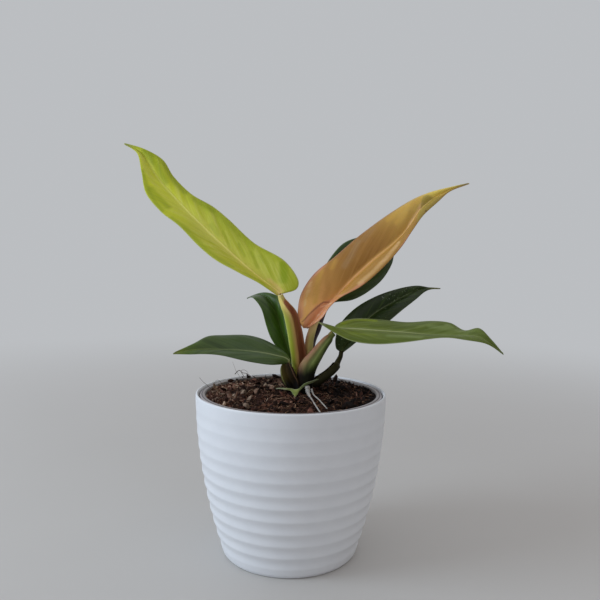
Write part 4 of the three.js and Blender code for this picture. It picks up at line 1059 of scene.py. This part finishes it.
# Where a stalk's colours lie: round its outside and its inside from one margin to the other, and along it.
# Below foot it is dark, partly its own colour, partly painted shade.
# Crest and throat are the outside and the inside near the blade.
DARK_STALK = {
    "around": [(0, "#3c3a1c"), (0.3, "#35381a"), (0.6, "#26240f"), (1, "#2c2014")],
    "inside": [(0, "#1f1810"), (1, "#17120c")], "streak": "#4a4c24", "foot": (112, 121), "roughness": 0.4,
}
STALK_LOOKS = {
    "lime": {
        "around": [(0, "#9c6c42"), (0.06, "#9c7840"), (0.11, "#948238"), (0.15, "#8c8c2a"), (0.2, "#969c2e"),
                   (0.28, "#aeb644"), (0.34, "#ccd080"), (0.4, "#c4c868"), (0.6, "#a4a844"),
                   (0.9, "#8f7a44"), (1, "#a86a50")],
        "inside": [(0, "#a87042"), (0.15, "#a86c44"), (0.5, "#985e3c"), (0.9, "#a86a48"), (1, "#bc785a")],
        "crest": [(0, "#fce08c"), (0.15, "#f0d878"), (0.3, "#e6de74"), (0.45, "#d4d870"), (1, "#c8a060")],
        "throat": [(0, "#fff0a0"), (0.3, "#f8d48c"), (0.55, "#d8a078"), (0.8, "#bc7c5c"), (1, "#c4806a")],
        "along": [(0.9, 0.97, 0.85, "#dccc80")], "streak": "#b4b050", "foot": (112, 121), "streaks": 0.2,
        "specular": 0.15,
    },
    "green": {
        # The dark green round the back and right is painted shade, the side away from the window
        "around": [(0, "#3d4722"), (0.55, "#2c3514"), (0.63, "#46541f"), (0.69, "#6a7a3c"), (0.74, "#8e9a58"),
                   (0.78, "#707a44"), (0.83, "#6c643a"), (0.88, "#947650"), (0.94, "#9c7052"),
                   (1, "#98644c")],
        "inside": [(0, "#5c4430"), (1, "#9a705a")], "streak": "#8b925a", "foot": (126, 137),
        "along": [(0.74, 0.84, 0.4, "#8a9440")], "specular": 0.15,
    },
    "left": {**DARK_STALK,
             # The pale left margin and the olive band beside it are painted light, on the side toward the
             # window
             "around": [(0, "#a4a468"), (0.05, "#6c6a34"), (0.2, "#5c5828"), (0.35, "#6b6a2a"),
                        (0.45, "#3f3a1a"), (0.7, "#241d10"), (0.95, "#2d2014"), (1, "#7c5844")],
             "inside": [(0, "#a09c5c"), (0.05, "#7c7434"), (0.2, "#645824"), (0.42, "#4c3c18"),
                        (0.7, "#302410"), (0.93, "#2c2014"), (1, "#9a6c54")], "specular": 0.15,
             "along": [(0.8, 0.88, 0.7, "#98985c")], "foot": (119, 126)},
    "rear_right": {**DARK_STALK, "streak": "#3a381c", "foot": (114, 122), "specular": 0.15,
                   "around": [(0, "#1d1a10"), (0.5, "#1f1d10"), (0.75, "#33311a"), (1, "#454322")],
                   "inside": [(0, "#2f2a18"), (0.5, "#3a3a1c"), (1, "#4c4826")]},
    "orange": {
        "around": [(0, "#e0a888"), (0.35, "#dcb078"), (0.6, "#ccb86c"), (1, "#c0b464")],
        "inside": [(0, "#dca880"), (0.4, "#d8ac70"), (1, "#c8b868")], "streak": "#c8bc80", "foot": (116, 130),
        "along": [(0.5, 0.72, 0.85, "#ffe09c"), (0.93, 1, 0.8, "#9a6448")],
    },
    "rear": {
        # The violet band on the right is a painted sheen
        "around": [(0, "#1c1212"), (0.22, "#1c1212"), (0.45, "#2e241c"), (0.7, "#4c3e3c"),
                   (0.85, "#443a44"), (0.93, "#2a1c1c"), (1, "#1c1212")],
        "inside": [(0, "#1c1212"), (1, "#1c1212")], "streak": "#33221e", "foot": (110, 118),
        "along": [(0.75, 0.95, 0.6, "#3c3c22")],
    },
    "rear_left": DARK_STALK,
}


# Potting mix

MIX_RINGS = 120
MIX_AROUND = 300
SOIL_STOPS = [
    (0, "#0b0605"), (0.3, "#26160f"), (0.55, "#482a1e"), (0.75, "#70493c"), (0.9, "#94725e"), (1, "#b89e88"),
]
FIBRE_STOPS = [(0, "#2a1910"), (0.4, "#5c3c2a"), (0.75, "#8a6248"), (1, "#b8987c")]
STRAY_STOPS = [(0, "#2a1910"), (0.4, "#5c3c2a"), (1, "#5c4030")]


def mix_height(x, y):
    """Height of the mix's mound and lumps, as in the CAD part."""
    far = np.hypot(x - CROWN_X, y - CROWN_Y) / MOUND_SPREAD
    lumps = (np.sin(0.43 * x + 1.3) * np.sin(0.47 * y + 0.4)
             + 0.6 * np.sin(0.71 * x - 0.53 * y) + 0.5 * np.sin(0.37 * x + 0.83 * y + 2))
    return MIX_EDGE_Z + MOUND_HEIGHT * np.exp(-far * far) + 0.5 * LUMP_HEIGHT * lumps


def painted_window_light(x, y):
    """Painted light on the mix: paler toward the left, the window side, and a little toward the back."""
    return 0.15 - 0.0065 * (x + 10) + 0.0004 * y


def soil_surface(name, stops, bump=0.6):
    s = Surface(name, 0.2)
    grain = s.noise(700, 5, roughness=0.7)
    shade = s.stirred(s.attribute("tone"), grain, 0.8, clamp=True)
    colour = s.tint(s.ramp(shade, stops), "#150d09", s.rise(s.noise(75, 3), 0.45, 0.62), 0.6)
    s.bump(grain, bump, 0.0005)
    return s.finish(colour, s.scaled(grain, 0.2, 0.78))


def relief(x, y, scale, level, *shape):
    """Fractal noise over the mix, read at a scale and a level of its own."""
    places = zip((x * scale).ravel(), (y * scale).ravel())
    return np.reshape([noise.fractal(Vector((a, b, level)), *shape) for a, b in places], x.shape)


def make_mix():
    top = turned(np.linspace(MIX_RADIUS, 0.4, MIX_RINGS), 0, MIX_AROUND)
    x, y = top[..., 0], top[..., 1]
    coarse = relief(x, y, 0.28, 3, 0.9, 2.2, 4)
    fine = relief(x, y, 1.1, 9, 0.8, 2.1, 3)
    top[..., 2] = mix_height(x, y) + np.minimum(1.4 * coarse + 0.7 * fine, 1.6)
    foot_z = GROW_FLOOR_Z + GROW_FLOOR + GAP
    radii = (GROW_FOOT_RADIUS - GROW_WALL - GAP, GROW_TOP_RADIUS - GROW_WALL - GAP, MIX_RADIUS)
    skirt = turned(radii, (foot_z, GROW_BAND_Z, GROW_BAND_Z + 3), MIX_AROUND)
    form = skin(np.concatenate([skirt, top]), [(0, 0, foot_z), (0, 0, top[-1, :, 2].mean())])
    # Painted light makes the mix paler toward the window side
    tones = np.clip(0.3 + 0.36 * coarse + 0.3 * fine + painted_window_light(x, y), 0, 1)
    tone = np.concatenate([np.full(skirt[..., 0].size, 0.2), tones.ravel(), [0.2, 0.3]])
    material = soil_surface("potting_mix", SOIL_STOPS, 0.9)
    add_piece("mix_bed", form, material, ["potting_mix"], {"tone": tone})


def random_turn():
    """A turn about any axis, as a matrix."""
    q = random.normal(size=4)
    w, x, y, z = q / np.linalg.norm(q)
    return np.array([
        [1 - 2 * (y * y + z * z), 2 * (x * y - z * w), 2 * (x * z + y * w)],
        [2 * (x * y + z * w), 1 - 2 * (x * x + z * z), 2 * (y * z - x * w)],
        [2 * (x * z - y * w), 2 * (y * z + x * w), 1 - 2 * (x * x + y * y)],
    ])


def ball():
    """Points and faces of a small round form that crumbs are squeezed from."""
    bpy.ops.mesh.primitive_ico_sphere_add(subdivisions=2, radius=1)
    made = bpy.context.active_object
    points = np.array([p.co for p in made.data.vertices])
    faces = [tuple(f.vertices) for f in made.data.polygons]
    bpy.data.objects.remove(made)
    return points, faces


def from_roots(x, y):
    """Distance in plan from the nearest aerial root."""
    paths = (curve([r[:2] for r in stations], np.linspace(0, 1, 40)) for stations in ROOTS)
    return min(np.linalg.norm(path - [x, y], axis=1).min() for path in paths)


CRUMB_CUTS = 7
CRUMB_EDGE_GAP = 0.3
ROOT_CLEARANCE = 3.5
LARGEST_BY_ROOTS = 0.8


def make_crumbs(name, count, sizes, flat=0.6, placed=()):
    """Lumps of bark and peat, each squeezed and cut its own way, strewn over the mix or placed one by one."""
    base, base_faces = ball()
    points, faces, tones = [], [], []
    for k in range(count):
        if placed:
            x, y, lift, tone = placed[k]
        else:
            radius = (MIX_RADIUS - 1.6) * math.sqrt(random.random())
            angle = random.random() * 2 * math.pi
            x, y, lift = radius * math.cos(angle), radius * math.sin(angle), 0
        size = sizes[0] * (sizes[1] / sizes[0]) ** (random.random() ** 1.5)
        if not placed and from_roots(x, y) < ROOT_CLEARANCE:
            size = min(size, LARGEST_BY_ROOTS)
        room = MIX_RADIUS - CRUMB_EDGE_GAP - math.hypot(x, y)
        size = min(size, max(0.3, room))
        shape = size * np.array([1, 0.15 + 0.6 * random.random() ** 1.6, 0.1 + flat * random.random() ** 2])
        seed = Vector((k * 3.1, k * 1.7, 0))
        lump = base * [[1 + 0.9 * noise.noise(Vector(p) * 1.9 + seed)] for p in base]
        facings = unit(random.normal(size=(CRUMB_CUTS, 3)))
        for facing, reach in zip(facings, random.uniform(0.25, 0.75, CRUMB_CUTS)):
            lump = lump - np.maximum(lump @ facing - reach, 0)[:, None] * facing
        lump = (lump * shape * 1.15) @ random_turn().T
        points.append(lump + [x, y, mix_height(x, y) + 0.35 * size * random.random() + lift])
        faces += [tuple(k * len(base) + i for i in f) for f in base_faces]
        if not placed:
            # Crumbs share the mix's painted light, paler toward the window side
            tone = 0.05 + 0.8 * random.random() ** 1.7 + painted_window_light(x, y)
        tones += [tone] * len(base)
    form = np.concatenate(points), faces
    add_piece(name, form, soil_surface(name, SOIL_STOPS), (), {"tone": tones})


def tube(path, radii, sides):
    """The closed form of a round, thin thing along a path that nowhere runs straight up."""
    forward = tangents(path)
    side = unit(np.cross(forward, [0.13, 0.21, 1]))
    up = np.cross(side, forward)
    angles = np.linspace(0, 2 * np.pi, sides, endpoint=False)[:, None]
    around = side[:, None] * np.cos(angles) + up[:, None] * np.sin(angles)
    return skin(path[:, None] + radii[:, None, None] * around, [path[0], path[-1]])


def make_fibres(name, paths, stops):
    """Coir and root fibres, each path with its half thickness, as one piece."""
    points, faces, tones = [], [], []
    for path, thickness in paths:
        start = len(tones)
        fibre, fibre_faces = tube(path, thickness * np.linspace(1, 0.45, len(path)), 5)
        points.append(fibre)
        faces += [tuple(start + i for i in f) for f in fibre_faces]
        tones += [random.random()] * len(fibre)
    form = np.concatenate(points), faces
    add_piece(name, form, soil_surface(name, stops, 0.2), (), {"tone": tones})


# Chips that stand out of the mix: place across, place along, lift and tone
CHIPS = [
    (-53.5, 11, 0.8, 0.95), (-19, 13.5, 0.9, 0.8), (-18.5, -9, 0.4, 0.7), (45, -9, 0.8, 0.8),
    (47.5, -16, 0.8, 0.7),
    (-37, 42, 2.6, 0.4), (-33, 45, 3.2, 0.45), (-41, 38, 2, 0.35), (-29, 47, 2.4, 0.4), (-45, 33, 1.6, 0.45),
    (-12, 52, 2, 0.4), (-20, 50, 1.8, 0.35), (34, 40, 1.2, 0.3), (25, 46, 1.2, 0.3),
]
# Fibres that reach out of the mix: path, and half thickness
STRAYS = [
    ([(-55, 4, 110), (-58.5, 4, 113.5), (-62, 3, 117), (-63.5, 2, 119.5)], 0.16),
    ([(-39, 42, 112), (-42.5, 44, 116.5), (-43.5, 45, 119), (-45, 45, 123)], 0.12),
    ([(-43, 42, 114), (-40, 43, 116.8), (-37, 42, 115.2), (-33, 41, 114.6), (-30, 40, 111.5)], 0.3),
    ([(-36, 43, 112), (-38.5, 44, 116), (-36, 44, 117), (-33, 44, 115)], 0.2),
    ([(-50, 24, 110), (-53, 24, 113), (-55, 22, 112.5), (-56, 20, 110)], 0.16),
    ([(28, 36, 110), (31, 40, 113), (35, 41, 112), (38, 40, 109.5)], 0.18),
]


def loose_fibre():
    """A bent fibre that lies on the mix, or arches out of it, and stays inside the grow pot."""
    radius = (MIX_RADIUS - 3) * math.sqrt(random.random())
    angle = random.random() * 2 * math.pi
    length = random.uniform(3, 13)
    heading = random.random() * 2 * math.pi
    bend = random.normal() * 0.22
    x, y = radius * math.cos(angle), radius * math.sin(angle)
    arch = max(0, random.normal()) * 0.9
    path = []
    for t in np.linspace(0, 1, 9):
        if math.hypot(x, y) > MIX_RADIUS - 0.8:
            break
        path.append([x, y, float(mix_height(np.array(x), np.array(y))) + 0.35 + arch * math.sin(math.pi * t)])
        heading += bend + random.normal() * 0.1
        x += length / 8 * math.cos(heading)
        y += length / 8 * math.sin(heading)
    return np.array(path), random.uniform(0.08, 0.26)


# Small pieces of the crown

CATAPHYLL = [
    [[-10, -5, 113.9], [-10, -5, 113.6], [-10, -5, 113.3]],
    [[-7, -9, 115], [-7, -9, 114.6], [-7, -9, 114.1]],
    [[-3.5, -12.2, 115.6], [-3.5, -12.4, 115], [-3.5, -12.6, 114.3]],
    [[0, -12.4, 115.4], [0, -12.7, 114.7], [0, -13, 113.7]],
    [[2.8, -12.8, 114.9], [2.9, -14.6, 112.5], [3, -16, 110.4]],
    [[5.4, -12.8, 115.5], [5.4, -13.2, 114.7], [5.4, -13.6, 113.4]],
    [[7.4, -12.6, 117.4], [7.4, -12.9, 116.5], [7.4, -13.1, 115.5]],
    [[10, -12.4, 119.4], [10, -12.6, 118.5], [10, -12.8, 117.6]],
    [[14.8, -11, 120.7], [14.8, -11.1, 120], [14.8, -11.2, 119.3]],
    [[18.5, -8.4, 121.4], [18.5, -8.4, 121.1], [18.5, -8.4, 120.8]],
]
STEM_PROFILE = [(0, 92), (5, 92), (6.5, 97), (6, 101), (6.6, 105), (6, 110), (4.6, 116), (0, 116)]
ROOTS = [
    [
        [11, -12.2, 117, 1.6],
        [11.4, -13.4, 114.4, 1.6],
        [12, -15.2, 112.3, 1.1],
        [13, -18, 111, 0.6],
        [14.2, -24, 110.5, 0.45],
        [16, -38, 110.3, 0.45],
        [17.5, -51, 110.7, 0.45],
        [18.2, -58.5, 111.3, 0.4],
    ],
    [
        [13.9, -13.2, 115.5, 0.7],
        [14.4, -13.8, 113.6, 0.6],
        [15.6, -15.8, 111.7, 0.45],
        [18.3, -21.5, 110.5, 0.4],
        [20.7, -33, 110.2, 0.4],
        [23, -46, 110.3, 0.4],
    ],
]
BAND_STOPS = [
    (0, "#a8a68c"), (0.2, "#8f9266"), (0.34, "#7d8a44"), (0.5, "#8f9a4a"),
    (0.62, "#6c7440"), (0.8, "#4f5630"), (1, "#5c5e40"),
]


def make_cataphyll():
    u, v = np.linspace(0, 1, 90), np.linspace(-1, 1, 17)
    middle = blade_points({"stations": CATAPHYLL, "swell": (0, 0), "wave": (0, 1, 0)}, u, v)
    thick = np.broadcast_to(0.3 - 0.18 * np.abs(v) ** 3, middle.shape[:2])
    form = sheet(middle, upward(middle), thick, -thick)

    s = Surface("cataphyll", 0.3)
    reach = s.math("ABSOLUTE", s.attribute("band_v"))
    colour = s.tint(s.ramp(s.attribute("band_u"), BAND_STOPS), "#a9a98c", s.rise(reach, 0.6, 0.95), 0.5)
    fibre = s.noise(500, 3, (0.2, 1, 1))
    colour = s.tint(colour, "#5f7838", s.rise(fibre, 0.45, 0.7), 0.35)
    s.bump(fibre, 0.3, 0.0003)
    material = s.finish(colour, s.scaled(fibre, 0.2, 0.45))
    attributes = {"band_u": on_sheet(u[:, None], middle), "band_v": on_sheet(v, middle)}
    add_piece("cataphyll_band", form, material, ["cataphyll"], attributes)


def make_stem():
    outline = curve(STEM_PROFILE[1:-1], np.linspace(0, 1, 60))
    ringed = [(r + 0.12 * math.sin(2.2 * z), z) for r, z in outline]
    points, faces = lathe([STEM_PROFILE[0], *ringed, STEM_PROFILE[-1]], 64)

    s = Surface("stem", 0.3)
    scars = s.noise(300, 4, (0.3, 0.3, 1.5))
    s.bump(scars, 0.5, 0.0005)
    material = s.finish(s.mix(scars, "#241c10", "#4a4a22"), s.scaled(scars, 0.2, 0.6))
    add_piece("stem_stub", (points + [CROWN_X, CROWN_Y, 0], faces), material, ["stem"])


def make_root(number, stations):
    places = np.linspace(0, 1, 90)
    read = curve(stations, places)
    radii = read[:, 3] * (1 + 0.07 * np.sin(40 * places) + 0.08 * np.sin(97 * places + number))
    radii[0] *= 0.8

    name = f"aerial_root_{number}"
    s = Surface(name, 0.35)
    scurf = s.noise(900, 4)
    colour = s.mix(scurf, "#8c867e", "#c8c3bb")
    colour = s.tint(colour, "#5e4c3c", s.rise(s.noise(160, 3), 0.5, 0.75), 0.5)
    s.bump(scurf, 0.4, 0.0003)
    s.soften(0.05, (1.0, 0.2, 0.1), 0.001)
    material = s.finish(colour, s.scaled(scurf, 0.2, 0.45))
    add_piece(f"root_{number}", tube(read[:, :3], radii, 14), material, [name])


# The whole plant

make_cover_pot()
make_grow_pot()
make_mix()
make_crumbs("bark_crumbs", 2050, (0.7, 4))
make_crumbs("pale_chips", len(CHIPS), (2.4, 3.4), 0.9, CHIPS)
loose = [loose_fibre() for _ in range(1100)]
make_fibres("coir_fibres", [fibre for fibre in loose if len(fibre[0]) > 3], FIBRE_STOPS)
stray = [(curve(path, np.linspace(0, 1, 12)), thickness) for path, thickness in STRAYS]
make_fibres("stray_fibres", stray, STRAY_STOPS)
for leaf, spec in BLADES.items():
    material = blade_surface(leaf + "_blade", LOOKS[leaf])
    make_blade(leaf, spec, material)
for leaf, spec in PETIOLES.items():
    material = petiole_surface(leaf + "_petiole", STALK_LOOKS[leaf])
    make_petiole(leaf, spec, material)
make_cataphyll()
make_stem()
for number, stations in enumerate(ROOTS, 1):
    make_root(number, stations)


# Floor, light and camera

FLOOR_RADIUS = 2500
FLOOR_DEPTH = 2
WORLD_GREY = (0.50, 0.515, 0.535, 1.0)
WINDOW_SIDE = (0.42, 0.49, 0.6, 1.0)
ROOM_SIDE = (0.15, 0.147, 0.145, 1.0)
CEILING = (0.62, 0.62, 0.64, 1.0)
WINDOW_LIGHT = (0.74, 0.87, 1.0)
FILL_LIGHT = (1.0, 0.97, 0.94)
CAMERA_PLACE = (0.0055, -0.442, 0.208)
CAMERA_TILT = 4.41
CAMERA_ROLL = 0.65
LENS = 39.0


def make_floor():
    """A pale floor that glows, far behind the plant, like the background it runs into."""
    s = Surface("floor", 0.2, 0.6)
    s.feed(s.shader.inputs["Base Color"], s.mix(s.noise(6, 2), "#c4c1bd", "#c8c5c1"))
    glow = s.node("ShaderNodeEmission", {"Color": WORLD_GREY})
    share = s.times(s.rise(s.length(s.place), 0.25, 1.2), s.rise(s.y, -0.05, 0.25))
    blend = s.node("ShaderNodeMixShader", {0: share, 1: s.shader.outputs[0], 2: glow.outputs[0]})
    s.feed(s.tree.nodes["Material Output"].inputs["Surface"], blend.outputs[0])
    profile = [(0, -FLOOR_DEPTH), (FLOOR_RADIUS, -FLOOR_DEPTH), (FLOOR_RADIUS, 0), (0, 0)]
    floor = make_object("floor", lathe(profile, 96), s.material)


def add_area_light(name, place, aim, size, power, colour):
    data = bpy.data.lights.new(name, "AREA")
    data.shape = "DISK"
    data.size = size
    data.energy = power
    data.color = colour
    light = bpy.data.objects.new(name, data)
    light.location = place
    light.rotation_euler = (Vector(aim) - Vector(place)).to_track_quat("-Z", "Y").to_euler()
    bpy.context.scene.collection.objects.link(light)


def make_world():
    """A plain grey behind the plant, and room light that is brighter and bluer on the left and from above."""
    world = bpy.data.worlds.new("studio")
    world.use_nodes = True
    sky = Nodes(world.node_tree)
    toward = sky.node("ShaderNodeTexCoord").outputs["Generated"]
    x, y, z = sky.node("ShaderNodeSeparateXYZ", {0: toward}).outputs
    colour = sky.mix(sky.rise(x, -0.9, 0.2), WINDOW_SIDE, ROOM_SIDE)
    colour = sky.mix(sky.rise(z, -0.1, 0.8), colour, CEILING)
    colour = sky.mix(sky.rise(y, 0.5, 0.78), colour, WORLD_GREY)
    sky.feed(world.node_tree.nodes["Background"].inputs["Color"], colour)
    bpy.context.scene.world = world


make_floor()
make_world()
add_area_light("window", (-1.2, -0.3, 0.6), (0, 0, 0.12), 0.7, 8.4, WINDOW_LIGHT)
add_area_light("fill", (0.9, -0.9, 0.9), (0, 0, 0.1), 0.8, 0.6, FILL_LIGHT)

camera_data = bpy.data.cameras.new("camera")
camera_data.lens = LENS
camera_data.sensor_width = 36.0
camera_data.clip_start = 0.01
camera = bpy.data.objects.new("camera", camera_data)
bpy.context.scene.collection.objects.link(camera)
camera.matrix_world = (Matrix.Translation(CAMERA_PLACE)
                       @ Matrix.Rotation(math.radians(90 - CAMERA_TILT), 4, "X")
                       @ Matrix.Rotation(math.radians(CAMERA_ROLL), 4, "Z"))
bpy.context.scene.camera = camera
bpy.context.scene.view_settings.view_transform = "Standard"
